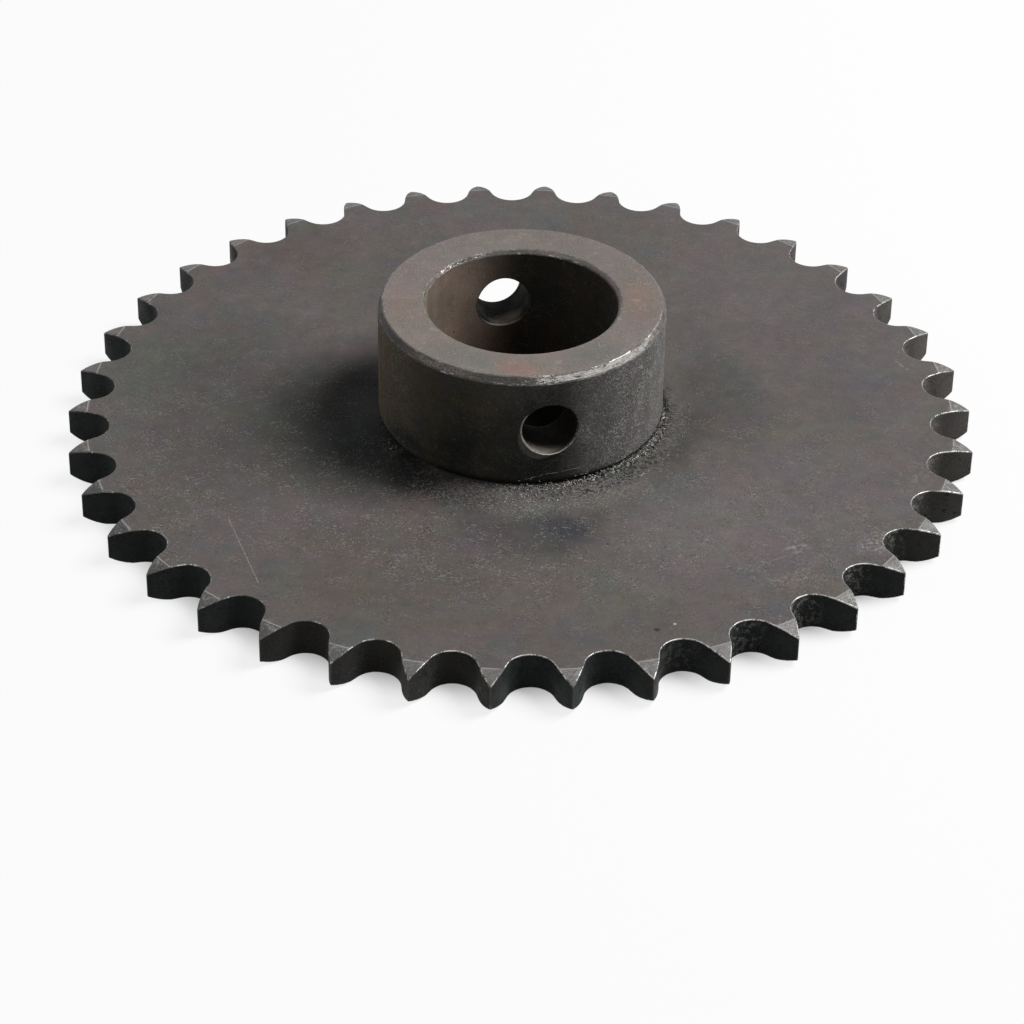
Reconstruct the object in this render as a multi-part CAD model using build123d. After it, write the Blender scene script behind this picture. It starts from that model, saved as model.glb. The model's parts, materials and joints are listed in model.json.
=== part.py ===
"""Roller-chain sprocket: a toothed plate carried on a turned hub, welded together at the back.

Millimetres. +Z is the shaft axis and points to the hub's nose. The origin lies on that axis, in the
plate's back face, and the cross hole runs along Y.
"""

from build123d import *
import math
import os

# ---------------------------------------------------------------- chain and tooth form
CHAIN_PITCH = 15.875        # between the roller centres of the chain
ROLLER_DIAMETER = 10.16     # of the chain's rollers
TEETH = 38
SEAT_CLEARANCE = 0.05       # between a roller and its seat, on the radius
SEATING_ANGLE = 137.6       # of the concave seat arc, in degrees
FLANK_RADIUS = 20.0         # of the convex flank above the seat
TIP_HEIGHT = 4.2            # of the tooth tips above the pitch circle
TIP_EDGE_RADIUS = 0.3       # of the tips' corners, seen along the shaft
TOOTH_CLOCKING = 0.6        # from the cross hole to the nearest gap, in degrees

# ---------------------------------------------------------------- plate
PLATE_THICKNESS = 8.5
RELIEF_LENGTH = 4.4         # of the sloped tooth sides, inwards from the tips
RELIEF_DEPTH = 1.4          # that the sloped sides fall at the tips
RELIEF_RADIUS = 14.0        # of the curve of the sloped sides

# ---------------------------------------------------------------- hub
HUB_DIAMETER = 63.0
HUB_PROJECTION = 27.5       # of the hub's nose beyond the plate
BORE_DIAMETER = 42.0
BORE_CHAMFER = 0.8
NOSE_CHAMFER_WIDTH = 0.9    # of the nose's outer edge, along the radius
NOSE_CHAMFER_LENGTH = 1.6   # of the same edge, along the shaft
FOOT_CHAMFER_WIDTH = 0.8    # of the shoulder's edge on the plate, along the radius
FOOT_CHAMFER_LENGTH = 1.2   # of the same edge, along the shaft
SPIGOT_DIAMETER = 54.0      # of the hub's neck inside the plate
SPIGOT_CLEARANCE = 0.05     # between the neck and the plate's hole, on the radius

# ---------------------------------------------------------------- cross hole
CROSS_HOLE_DIAMETER = 12.0
CROSS_HOLE_HEIGHT = 14.3    # of its axis above the plate's front face

# ---------------------------------------------------------------- weld
WELD_GROOVE = 3.2           # width and depth of the groove round the plate's hole, at the back
WELD_RECESS = 0.3           # of the weld's face below the back face

# ---------------------------------------------------------------- cutters
CUT_MARGIN = 1.0            # that a cutter reaches past what it cuts

# ---------------------------------------------------------------- worked out from the above
TOOTH_STEP = 360.0 / TEETH
PITCH_RADIUS = CHAIN_PITCH / 2 / math.sin(math.pi / TEETH)
SEAT_RADIUS = ROLLER_DIAMETER / 2 + SEAT_CLEARANCE
TIP_RADIUS = PITCH_RADIUS + TIP_HEIGHT
HUB_RADIUS = HUB_DIAMETER / 2
BORE_RADIUS = BORE_DIAMETER / 2
SPIGOT_RADIUS = SPIGOT_DIAMETER / 2
PLATE_HOLE_RADIUS = SPIGOT_RADIUS + SPIGOT_CLEARANCE
NOSE_Z = PLATE_THICKNESS + HUB_PROJECTION
CROSS_HOLE_Z = PLATE_THICKNESS + CROSS_HOLE_HEIGHT


def polar(radius, degrees):
    """Point of the plan at a radius, and at degrees turned from +Y towards +X."""
    turn = math.radians(degrees)
    return Vector(radius * math.sin(turn), radius * math.cos(turn))


def gap_face():
    """Flat shape of one gap: seat arc, convex flanks, rounded tip corners, open end past the tips."""
    half_seat = math.radians(SEATING_ANGLE / 2)
    outward = Vector(math.sin(half_seat), -math.cos(half_seat))
    seat_centre = polar(PITCH_RADIUS, 0)
    seat_middle = seat_centre + polar(SEAT_RADIUS, 180 - SEATING_ANGLE / 4)
    foot = seat_centre + outward * SEAT_RADIUS
    flank_centre = seat_centre + outward * (SEAT_RADIUS + FLANK_RADIUS)

    # the corner's arc touches the flank from inside and the tip circle from inside
    reach = flank_centre.length
    from_axis = TIP_RADIUS - TIP_EDGE_RADIUS
    from_flank = FLANK_RADIUS - TIP_EDGE_RADIUS
    opening = math.acos((reach**2 + from_axis**2 - from_flank**2) / (2 * reach * from_axis))
    corner_turn = math.degrees(math.atan2(flank_centre.X, flank_centre.Y) - opening)
    corner_centre = polar(from_axis, corner_turn)
    shoulder = flank_centre + (corner_centre - flank_centre).normalized() * FLANK_RADIUS
    tip = polar(TIP_RADIUS, corner_turn)
    flank_middle = on_arc(flank_centre, FLANK_RADIUS, foot, shoulder)
    corner_middle = on_arc(corner_centre, TIP_EDGE_RADIUS, shoulder, tip)

    outside = polar(TIP_RADIUS + CUT_MARGIN, corner_turn)
    apex = polar(outside.length / math.cos(math.radians(corner_turn)), 0)
    half = [
        ThreePointArc(polar(PITCH_RADIUS - SEAT_RADIUS, 0), seat_middle, foot),
        ThreePointArc(foot, flank_middle, shoulder),
        ThreePointArc(shoulder, corner_middle, tip),
        Line(tip, outside),
        Line(outside, apex),
    ]
    half += [edge.mirror(Plane.YZ) for edge in half]
    return make_face(Wire.combine(half)[0])


def on_arc(centre, radius, start, end):
    """Point in the middle of the short arc about a centre from start to end."""
    return centre + ((start + end) / 2 - centre).normalized() * radius


def tooth_outline():
    """Flat outline of the toothed rim: a disc less one gap for each tooth."""
    gap = gap_face()
    turns = [-TOOTH_CLOCKING - TOOTH_STEP * tooth for tooth in range(TEETH)]
    return Circle(TIP_RADIUS).face() - [gap.rotate(Axis.Z, turn) for turn in turns]


def relief_profile(face_z, inward):
    """Half section of what is turned off one side of the teeth, from its face along inward."""
    start = Vector(TIP_RADIUS - RELIEF_LENGTH, 0, face_z)
    end = Vector(TIP_RADIUS, 0, face_z + inward * RELIEF_DEPTH)
    chord = end - start
    bulge = RELIEF_RADIUS - math.sqrt(RELIEF_RADIUS**2 - (chord.length / 2) ** 2)
    normal = Vector(-chord.Z, 0, chord.X).normalized() * -inward
    outside = Vector(TIP_RADIUS + CUT_MARGIN, 0, end.Z)
    above = Vector(outside.X, 0, face_z - inward * RELIEF_DEPTH)
    edges = [
        ThreePointArc(start, (start + end) / 2 + normal * bulge, end),
        Line(end, outside),
        Line(outside, above),
        Line(above, start),
    ]
    return make_face(Wire.combine(edges)[0])


def toothed_plate():
    """Plate with the tooth form, the relieved tooth sides, the hub's hole and its weld groove."""
    plate = extrude(tooth_outline(), PLATE_THICKNESS)
    for face_z, inward in ((PLATE_THICKNESS, -1), (0, 1)):
        plate -= revolve(relief_profile(face_z, inward), Axis.Z)
    groove_section = [
        (0, 0),
        (PLATE_HOLE_RADIUS + WELD_GROOVE, 0),
        (PLATE_HOLE_RADIUS, WELD_GROOVE),
        (PLATE_HOLE_RADIUS, PLATE_THICKNESS),
        (0, PLATE_THICKNESS),
    ]
    return plate - turned(groove_section)


def turned(section):
    """Solid turned about the shaft from (radius, z) points."""
    outline = Polyline([Vector(radius, 0, z) for radius, z in section], close=True)
    return revolve(make_face(outline), Axis.Z)


def hub():
    """Turned hub: neck in the plate, shoulder on the plate, chamfered bore, cross hole."""
    body = turned([
        (BORE_RADIUS + BORE_CHAMFER, 0),
        (SPIGOT_RADIUS, 0),
        (SPIGOT_RADIUS, PLATE_THICKNESS),
        (HUB_RADIUS - FOOT_CHAMFER_WIDTH, PLATE_THICKNESS),
        (HUB_RADIUS, PLATE_THICKNESS + FOOT_CHAMFER_LENGTH),
        (HUB_RADIUS, NOSE_Z - NOSE_CHAMFER_LENGTH),
        (HUB_RADIUS - NOSE_CHAMFER_WIDTH, NOSE_Z),
        (BORE_RADIUS + BORE_CHAMFER, NOSE_Z),
        (BORE_RADIUS, NOSE_Z - BORE_CHAMFER),
        (BORE_RADIUS, BORE_CHAMFER),
    ])
    drill = Cylinder(CROSS_HOLE_DIAMETER / 2, HUB_DIAMETER + CROSS_HOLE_DIAMETER)
    return body - Pos(0, 0, CROSS_HOLE_Z) * Rot(90, 0, 0) * drill


def weld_ring():
    """Ring of weld metal that fills the groove and roots in the gap between neck and plate."""
    return turned([
        (SPIGOT_RADIUS, WELD_RECESS),
        (PLATE_HOLE_RADIUS + WELD_GROOVE - WELD_RECESS, WELD_RECESS),
        (SPIGOT_RADIUS, WELD_GROOVE + SPIGOT_CLEARANCE),
    ])


NODES = {
    "toothed_plate": toothed_plate,
    "hub": hub,
    "weld_ring": weld_ring,
}


def main():
    """Build each node and write it to parts/NODE.step."""
    os.makedirs("parts", exist_ok=True)
    for name, build in NODES.items():
        export_step(build(), os.path.join("parts", name + ".step"))


main()
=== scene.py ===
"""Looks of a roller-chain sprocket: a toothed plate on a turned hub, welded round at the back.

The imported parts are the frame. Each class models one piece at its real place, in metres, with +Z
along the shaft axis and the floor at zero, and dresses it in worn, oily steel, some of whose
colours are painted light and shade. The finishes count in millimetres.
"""

import json
import logging
import math
import random
from dataclasses import dataclass, field
from enum import Enum
from typing import Callable, Iterable, Sequence, Union

import bmesh
import bpy
from mathutils import Matrix, Vector

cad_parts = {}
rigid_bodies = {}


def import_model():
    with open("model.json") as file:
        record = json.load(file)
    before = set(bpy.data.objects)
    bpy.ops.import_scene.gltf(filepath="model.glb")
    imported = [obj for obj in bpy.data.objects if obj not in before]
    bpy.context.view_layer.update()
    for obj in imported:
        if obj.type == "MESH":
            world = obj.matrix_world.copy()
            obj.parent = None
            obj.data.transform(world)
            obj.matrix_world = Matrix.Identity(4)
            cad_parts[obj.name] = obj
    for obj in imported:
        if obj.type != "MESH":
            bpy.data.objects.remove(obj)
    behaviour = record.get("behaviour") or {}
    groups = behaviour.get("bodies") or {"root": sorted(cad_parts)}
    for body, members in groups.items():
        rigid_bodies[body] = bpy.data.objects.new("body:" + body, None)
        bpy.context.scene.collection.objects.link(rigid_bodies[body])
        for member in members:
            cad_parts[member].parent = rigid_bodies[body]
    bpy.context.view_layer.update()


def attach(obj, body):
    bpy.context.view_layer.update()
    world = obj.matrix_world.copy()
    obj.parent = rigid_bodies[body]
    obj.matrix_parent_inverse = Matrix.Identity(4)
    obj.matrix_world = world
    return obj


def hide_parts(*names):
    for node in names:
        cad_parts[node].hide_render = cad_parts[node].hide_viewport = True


LOG = logging.getLogger("sprocket")
MM = 0.001
MERGE = 0.002 * MM
NEAR = 1e-6
PLATE_TOP = 8.5
NOSE_TOP = 36.0
HUB_RADIUS = 31.5
HOLE_HEIGHT = 22.8

Thing = bpy.types.Object
Socket = bpy.types.NodeSocket
Colour = tuple[float, float, float]
Feed = Union[float, Sequence[float], Socket]
Place = tuple[float, float, float]


# ------------------------------------------------------------------------------ modelling bench
class Part(Enum):
    """Kind of mesh element that a pick selects."""

    POINT = "VERT"
    EDGE = "EDGE"
    FACE = "FACE"


class Bench:
    """Modelling moves on one piece, each made with the mesh operators."""

    @staticmethod
    def close() -> None:
        """Leave edit mode."""
        if bpy.context.object and bpy.context.object.mode != "OBJECT":
            bpy.ops.object.mode_set(mode="OBJECT")

    @staticmethod
    def clear() -> None:
        """Leave edit mode and deselect everything."""
        Bench.close()
        bpy.ops.object.select_all(action="DESELECT")

    @staticmethod
    def take(*pieces: Thing) -> None:
        """Select pieces, the first one active.

        Args:
            pieces: the objects to select.
        """
        Bench.clear()
        for piece in pieces:
            piece.select_set(True)
        bpy.context.view_layer.objects.active = pieces[0]

    @staticmethod
    def edit(piece: Thing) -> None:
        """Open a piece for edits with all of it selected.

        Args:
            piece: the object to open.
        """
        Bench.take(piece)
        bpy.ops.object.mode_set(mode="EDIT")
        bpy.ops.mesh.select_mode(type="VERT")
        bpy.ops.mesh.select_all(action="SELECT")

    @staticmethod
    def rename(piece: Thing, name: str) -> Thing:
        """Name a piece and its mesh.

        Args:
            piece: the piece.
            name: its new name.

        Returns:
            The piece.
        """
        piece.name = name
        piece.data.name = name
        return piece

    @staticmethod
    def settle(name: str) -> Thing:
        """Name the active piece and put its place into its mesh.

        Args:
            name: the piece's name.

        Returns:
            The piece, with its object at the origin.
        """
        Bench.close()
        bpy.ops.object.transform_apply(location=True, rotation=True, scale=True)
        return Bench.rename(bpy.context.object, name)

    @staticmethod
    def point(name: str, at: Vector) -> Thing:
        """Start a piece as one point: a small plane at its place, merged to its middle.

        Args:
            name: the piece's name.
            at: where the point lies.

        Returns:
            The piece, open for edits with its point selected.
        """
        Bench.clear()
        bpy.ops.mesh.primitive_plane_add(size=2 * MM, location=at)
        piece = Bench.settle(name)
        Bench.edit(piece)
        bpy.ops.mesh.merge(type="CENTER")
        return piece

    @staticmethod
    def polyline(points: Sequence[Vector]) -> None:
        """Extrude the selected first point through the others in turn."""
        for start, end in zip(points, points[1:]):
            bpy.ops.mesh.extrude_region_move(TRANSFORM_OT_translate={"value": tuple(end - start)})

    @staticmethod
    def spin(centre: Vector, turn: float, steps: int) -> None:
        """Spin the selection about an upright axis, by degrees anticlockwise from above."""
        angle = -math.radians(turn)
        bpy.ops.mesh.spin(steps=steps, angle=angle, center=tuple(centre), axis=(0, 0, 1))

    @staticmethod
    def turned(name: str, section: Iterable[tuple[float, float]], steps: int) -> Thing:
        """Draw a closed half section and spin it all round the shaft axis.

        Args:
            name: the piece's name.
            section: its corners, each a radius and a height.
            steps: number of segments.

        Returns:
            The turned piece.
        """
        corners = [Vector((radius, 0, height)) for radius, height in section]
        piece = Bench.point(name, corners[0])
        Bench.polyline(corners)
        Bench.pick(piece, Part.POINT, lambda v: len(v.link_edges) == 1)
        bpy.ops.mesh.edge_face_add()
        bpy.ops.mesh.select_all(action="SELECT")
        Bench.spin(Vector(), 360, steps)
        Bench.weld(piece)
        return piece

    @staticmethod
    def pick(piece: Thing, kind: Part, test: Callable) -> None:
        """Select the elements of an open piece that pass a test, and no others.

        Args:
            piece: the piece that is open for edits.
            kind: points, edges or faces.
            test: takes a bmesh element and says whether it is wanted.
        """
        bpy.ops.mesh.select_mode(type=kind.value)
        bpy.ops.mesh.select_all(action="DESELECT")
        mesh = bmesh.from_edit_mesh(piece.data)
        elements = {Part.POINT: mesh.verts, Part.EDGE: mesh.edges, Part.FACE: mesh.faces}[kind]
        for element in elements:
            if test(element):
                element.select_set(True)
        mesh.select_flush_mode()
        bmesh.update_edit_mesh(piece.data)

    @staticmethod
    def bevel(width: float, steps: int, slot: int = -1) -> None:
        """Bevel the selected edges, with faces of a slot, or of their neighbours' slot at -1."""
        bpy.ops.mesh.bevel(offset=width, segments=steps, affect="EDGES", material=slot)

    @staticmethod
    def apply(piece: Thing, kind: str, **settings: object) -> None:
        """Add a modifier to a piece and apply it.

        Args:
            piece: the piece to change.
            kind: the modifier's type.
            settings: its values.
        """
        Bench.take(piece)
        modifier = piece.modifiers.new(kind.lower(), kind)
        for key, value in settings.items():
            setattr(modifier, key, value)
        bpy.ops.object.modifier_apply(modifier=modifier.name)

    @staticmethod
    def copy(piece: Thing) -> Thing:
        """Copy a piece with its mesh.

        Args:
            piece: the piece to copy.

        Returns:
            The copy, active and selected.
        """
        Bench.take(piece)
        bpy.ops.object.duplicate(linked=False)
        return bpy.context.object

    @staticmethod
    def copies(piece: Thing, turns: Iterable[float]) -> list[Thing]:
        """Copy a piece round the shaft axis.

        Args:
            piece: the piece to copy.
            turns: the turn of each copy, in degrees anticlockwise.

        Returns:
            The copies.
        """
        made = []
        for turn in turns:
            made.append(Bench.copy(piece))
            made[-1].rotation_euler = (0, 0, math.radians(turn))
            bpy.ops.object.transform_apply(location=False, rotation=True, scale=False)
        return made

    @staticmethod
    def join(pieces: Sequence[Thing], name: str) -> Thing:
        """Join pieces into one.

        Args:
            pieces: the objects to join.
            name: the name of the one that stays.

        Returns:
            The joined piece.
        """
        Bench.take(*pieces)
        bpy.ops.object.join()
        return Bench.rename(bpy.context.object, name)

    @staticmethod
    def weld(piece: Thing) -> None:
        """Merge doubled points and turn the faces outwards.

        Args:
            piece: the piece to clean.
        """
        Bench.edit(piece)
        bpy.ops.mesh.remove_doubles(threshold=MERGE)
        bpy.ops.mesh.normals_make_consistent(inside=False)
        Bench.close()

    @staticmethod
    def paint(piece: Thing, *finishes: "Steel") -> None:
        """Give a piece one slot for each of its finishes.

        Args:
            piece: the piece.
            finishes: the finishes, in the order of the slots.
        """
        piece.data.materials.clear()
        for finish in finishes:
            piece.data.materials.append(finish.make())

    @staticmethod
    def even(piece: Thing) -> None:
        """Let large faces lead the normals of a piece."""
        Bench.apply(piece, "WEIGHTED_NORMAL", keep_sharp=True, weight=60)

    @staticmethod
    def drop(*pieces: Thing) -> None:
        """Delete pieces that were only helpers."""
        for piece in pieces:
            bpy.data.objects.remove(piece)


def polar(radius: float, degrees: float, height: float = 0.0) -> Vector:
    """Point at a radius, at degrees turned from +Y towards +X, and at a height."""
    turn = math.radians(degrees)
    return Vector((radius * math.sin(turn), radius * math.cos(turn), height))


# ------------------------------------------------------------------------------ node wiring
HALVES = (0.5, 0.5, 0.5)
ONES = (1.0, 1.0, 1.0)
IN_PLAN = (1.0, 1.0, 0.0)


class Wiring:
    """A node tree that is being wired, with a short call for each kind of node."""

    def __init__(self, tree: bpy.types.NodeTree) -> None:
        """Take the tree to wire."""
        self.tree = tree

    def feed(self, socket: Socket, value: Feed) -> None:
        """Link a socket to an output, or set its value.

        Args:
            socket: the input.
            value: an output, a number, a vector or a colour.
        """
        if isinstance(value, Socket):
            self.tree.links.new(value, socket)
        elif socket.type == "RGBA":
            socket.default_value = (*value[:3], 1)
        else:
            socket.default_value = value

    def node(self, kind: str, feeds: dict | None = None, **settings: object) -> bpy.types.Node:
        """Add a shader node.

        Args:
            kind: the node's type, without its prefix.
            feeds: values of its inputs, by name or number.
            settings: its own settings.

        Returns:
            The node.
        """
        made = self.tree.nodes.new("ShaderNode" + kind)
        for key, value in settings.items():
            setattr(made, key, value)
        for key, value in (feeds or {}).items():
            self.feed(made.inputs[key], value)
        return made

    def maths(self, operation: str, *values: Feed) -> Socket:
        """Add a Math node and return its output."""
        return self.node("Math", dict(enumerate(values)), operation=operation).outputs[0]

    def times(self, first: Feed, second: Feed) -> Socket:
        """Multiply two values."""
        return self.maths("MULTIPLY", first, second)

    def plus(self, first: Feed, second: Feed) -> Socket:
        """Add two values."""
        return self.maths("ADD", first, second)

    def minus(self, first: Feed, second: Feed) -> Socket:
        """Subtract the second value from the first."""
        return self.maths("SUBTRACT", first, second)

    def vectors(self, operation: str, *values: Feed) -> Socket:
        """Add a Vector Math node.

        Args:
            operation: what it does.
            values: what it takes.

        Returns:
            Its vector, or its value where it gives one.
        """
        made = self.node("VectorMath", dict(enumerate(values)), operation=operation)
        single = operation in ("LENGTH", "DOT_PRODUCT", "DISTANCE")
        return made.outputs["Value" if single else "Vector"]

    def scaled(self, vector: Feed, share: Feed) -> Socket:
        """Scale a vector by a share."""
        feeds = {0: vector, "Scale": share}
        return self.node("VectorMath", feeds, operation="SCALE").outputs["Vector"]

    def step(self, value: Feed, low: Feed, high: Feed) -> Socket:
        """Step smoothly from 0 where the value is low to 1 where it is high, either way up."""
        feeds = {"Value": value, "From Min": low, "From Max": high}
        return self.node("MapRange", feeds, interpolation_type="SMOOTHSTEP").outputs["Result"]

    def mix(self, factor: Feed, first: Feed, second: Feed) -> Socket:
        """Mix two colours, the factor being the share of the second."""
        feeds = {"Factor": factor, "A": first, "B": second}
        return self.node("Mix", feeds, data_type="RGBA").outputs["Result"]

    def noise(self, place: Feed, size: Feed, detail: float, rough: float, tint: int = 0) -> Socket:
        """Add noise whose lumps have a size.

        Args:
            place: the coordinates.
            size: size of a lump, in the coordinates' unit.
            detail: how many finer layers it has.
            rough: how strong they are.
            tint: 1 for its colour instead of its value.

        Returns:
            The value or the colour.
        """
        scale = 1 / size if isinstance(size, (int, float)) else self.maths("DIVIDE", 1.0, size)
        feeds = {"Vector": place, "Scale": scale, "Detail": detail, "Roughness": rough}
        return self.node("TexNoise", feeds).outputs[tint]

    def wander(self, place: Feed, size: Feed, detail: float, rough: float) -> Socket:
        """Add noise that shoves a place about, with the same values as the noise call."""
        return self.vectors("SUBTRACT", self.noise(place, size, detail, rough, 1), HALVES)

    def turned(self, place: Feed, degrees: float | Socket) -> Socket:
        """Turn coordinates about the shaft axis.

        Args:
            place: the coordinates.
            degrees: the turn, or a socket that gives it.

        Returns:
            The turned coordinates.
        """
        if isinstance(degrees, Socket):
            angle = self.maths("RADIANS", degrees)
        else:
            angle = math.radians(degrees)
        feeds = {"Vector": place, "Angle": angle}
        return self.node("VectorRotate", feeds, rotation_type="Z_AXIS").outputs["Vector"]

    def millimetres(self) -> Socket:
        """Object coordinates in millimetres."""
        place = self.node("TexCoord").outputs["Object"]
        return self.vectors("MULTIPLY", place, (1000.0, 1000.0, 1000.0))

    def from_axis(self, place: Feed) -> Socket:
        """Distance of a place from the shaft axis."""
        return self.vectors("LENGTH", self.vectors("MULTIPLY", place, IN_PLAN))

    def effect(self, kind: type["Effect"], **feeds: Feed) -> bpy.types.NodeOutputs:
        """Place a shared effect.

        Args:
            kind: the effect.
            feeds: values of its inputs, by name.

        Returns:
            Its outputs.
        """
        made = self.tree.nodes.new("ShaderNodeGroup")
        made.node_tree = kind.group()
        made.label = kind.name
        for key, value in feeds.items():
            self.feed(made.inputs[key], value)
        return made.outputs


# ------------------------------------------------------------------------------ shared effects
VECTORS = ("Place", "Centre", "Reach", "Start", "End")
COLOURS = ("First", "Second", "Third", "Colour")


class Effect(Wiring):
    """A shader node group that several finishes share, built once.

    Its inputs stand in `given`, in their order. What it gives is one mask, unless it says more.
    """

    name = ""
    takes: tuple[str, ...] = ()
    gives: tuple[str, ...] = ("Mask",)

    @classmethod
    def group(cls) -> bpy.types.NodeTree:
        """Build the group, or find it again.

        Returns:
            The group's tree.
        """
        found = bpy.data.node_groups.get(cls.name)
        if found:
            return found
        made = bpy.data.node_groups.new(cls.name, "ShaderNodeTree")
        for names, side in ((cls.takes, "INPUT"), (cls.gives, "OUTPUT")):
            for name in names:
                kind = "Vector" if name in VECTORS else "Color" if name in COLOURS else "Float"
                made.interface.new_socket(name, in_out=side, socket_type="NodeSocket" + kind)
        cls(made).wire()
        return made

    def __init__(self, tree: bpy.types.NodeTree) -> None:
        """Take the group's tree, and find what it takes."""
        super().__init__(tree)
        self.given = tree.nodes.new("NodeGroupInput").outputs[: len(self.takes)]

    def wire(self) -> None:
        """Wire the group, up to what it gives."""
        raise NotImplementedError

    def give(self, *results: Socket) -> None:
        """Link what the group gives.

        Args:
            results: the sockets, in the order of the outputs.
        """
        made = self.tree.nodes.new("NodeGroupOutput").inputs
        for name, socket in zip(self.gives, results):
            self.tree.links.new(socket, made[name])


class TintDrift(Effect):
    """Three tints that drift into each other in soft patches."""

    name = "tint_drift"
    takes = ("Place", "Size", "First", "Second", "Third")
    gives = ("Colour", "Drift")

    def wire(self) -> None:
        """Mix the tints by two noises of different sizes."""
        place, size, first, second, third = self.given
        wide = self.noise(place, size, 4, 0.55)
        away = self.vectors("ADD", place, (71.0, 13.0, 37.0))
        near = self.noise(away, self.times(size, 0.45), 4, 0.6)
        colour = self.mix(self.step(wide, 0.38, 0.62), first, second)
        self.give(self.mix(self.step(near, 0.47, 0.66), colour, third), wide)


class FibreSpecks(Effect):
    """Short bright strokes that lie three ways, and dark dots among them."""

    name = "fibre_specks"
    takes = ("Place", "Size", "Level")
    gives = ("Bright", "Dark", "Relief")

    def wire(self) -> None:
        """Cut strokes and dots out of fine noise above a level."""
        place, size, level = self.given
        strokes: Feed = 0.0
        for turn, shift in ((22.0, 0.0), (84.0, 41.0), (146.0, 83.0)):
            moved = self.vectors("ADD", self.turned(place, turn), (shift, shift, shift))
            drawn = self.vectors("MULTIPLY", moved, (0.34, 1.0, 0.8))
            strokes = self.maths("MAXIMUM", strokes, self.noise(drawn, size, 1, 0.5))
        crowd = self.minus(0.5, self.noise(place, 5.0, 3, 0.6))
        level = self.plus(level, self.times(crowd, 0.34))
        above = self.plus(level, 0.05)
        bright = self.step(strokes, level, above)
        dots = self.noise(place, self.times(size, 1.25), 1, 0.6)
        dark = self.step(dots, self.minus(level, 0.03), above)
        grain = self.noise(place, self.times(size, 1.7), 3, 0.7)
        self.give(bright, dark, self.plus(self.minus(bright, dark), grain))


class HairScratches(Effect):
    """Long hair-thin scratches that run one way."""

    name = "hair_scratches"
    takes = ("Place", "Turn", "Length", "Gap", "Width")

    def wire(self) -> None:
        """Keep the thin band where stretched noise passes its middle, and break it up."""
        place, turn, length, gap, width = self.given
        across = self.maths("DIVIDE", 1.0, gap)
        feeds = {"X": self.maths("DIVIDE", 1.0, length), "Y": across, "Z": across}
        shares = self.node("CombineXYZ", feeds).outputs[0]
        drawn = self.vectors("MULTIPLY", self.turned(place, turn), shares)
        off = self.maths("ABSOLUTE", self.minus(self.noise(drawn, 1.0, 1, 0.4), 0.5))
        broken = self.noise(place, self.times(length, 0.5), 3, 0.7)
        self.give(self.times(self.step(off, width, 0.0), self.step(broken, 0.5, 0.64)))


class StainAndLightBlot(Effect):
    """A blot with soft ragged edges at one place, for a real stain and for painted light and shade.
    """

    name = "stain_and_light_blot"
    takes = ("Place", "Centre", "Turn", "Reach", "Ragged", "Core")

    def wire(self) -> None:
        """Fade by distance from the centre, with the place disturbed by noise."""
        place, centre, turn, reach, ragged, core = self.given
        shove = self.scaled(self.wander(place, 9.0, 5, 0.62), ragged)
        off = self.vectors("ADD", self.vectors("SUBTRACT", place, centre), shove)
        off = self.vectors("DIVIDE", self.turned(off, turn), reach)
        self.give(self.step(self.vectors("LENGTH", off), 1.0, core))


class PlacedStroke(Effect):
    """A single scratch between two points."""

    name = "placed_stroke"
    takes = ("Place", "Start", "End", "Width")

    def wire(self) -> None:
        """Fade by distance from the line, thin at its ends and broken along it."""
        place, start, end, width = self.given
        shove = self.vectors("MULTIPLY", self.wander(place, 3.0, 2, 0.5), (0.3, 0.3, 0.0))
        off = self.vectors("SUBTRACT", self.vectors("ADD", place, shove), start)
        line = self.vectors("SUBTRACT", end, start)
        reached, whole = (self.vectors("DOT_PRODUCT", way, line) for way in (off, line))
        share = self.node("Clamp", {"Value": self.maths("DIVIDE", reached, whole)}).outputs[0]
        gone = self.vectors("DISTANCE", off, self.scaled(line, share))
        mask = self.step(gone, width, self.times(width, 0.3))
        self.give(self.times(mask, self.step(self.noise(place, 0.9, 3, 0.7), 0.36, 0.52)))


class TurnedTowards(Effect):
    """Mask of what lies towards one bearing from the shaft axis."""

    name = "turned_towards"
    takes = ("Place", "Bearing", "Half", "Soft")

    def wire(self) -> None:
        """Compare directions: 1 within half of the bearing, 0 past the soft edge."""
        place, bearing, half, soft = self.given
        level = self.vectors("NORMALIZE", self.vectors("MULTIPLY", place, IN_PLAN))
        angle = self.maths("RADIANS", bearing)
        feeds = {"X": self.maths("SINE", angle), "Y": self.maths("COSINE", angle)}
        near = self.vectors("DOT_PRODUCT", level, self.node("CombineXYZ", feeds).outputs[0])
        edges = (self.maths("RADIANS", edge) for edge in (self.plus(half, soft), half))
        self.give(self.step(near, *(self.maths("COSINE", edge) for edge in edges)))


class RingBand(Effect):
    """Band round the shaft axis at one radius and height."""

    name = "ring_band"
    takes = ("Place", "Radius", "Width", "Height", "Ragged")

    def wire(self) -> None:
        """Fade by distance from the radius, disturbed by noise, and end 4 mm from the height."""
        place, radius, width, height, ragged = self.given
        wander = self.minus(self.noise(place, 2.5, 4, 0.65), 0.5)
        off = self.minus(self.from_axis(place), radius)
        off = self.maths("ABSOLUTE", self.maths("MULTIPLY_ADD", wander, ragged, off))
        band = self.step(off, width, self.times(width, 0.2))
        rise = self.node("SeparateXYZ", {0: place}).outputs["Z"]
        gone = self.maths("ABSOLUTE", self.minus(rise, height))
        self.give(self.times(band, self.step(gone, 5.0, 3.0)))


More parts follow.
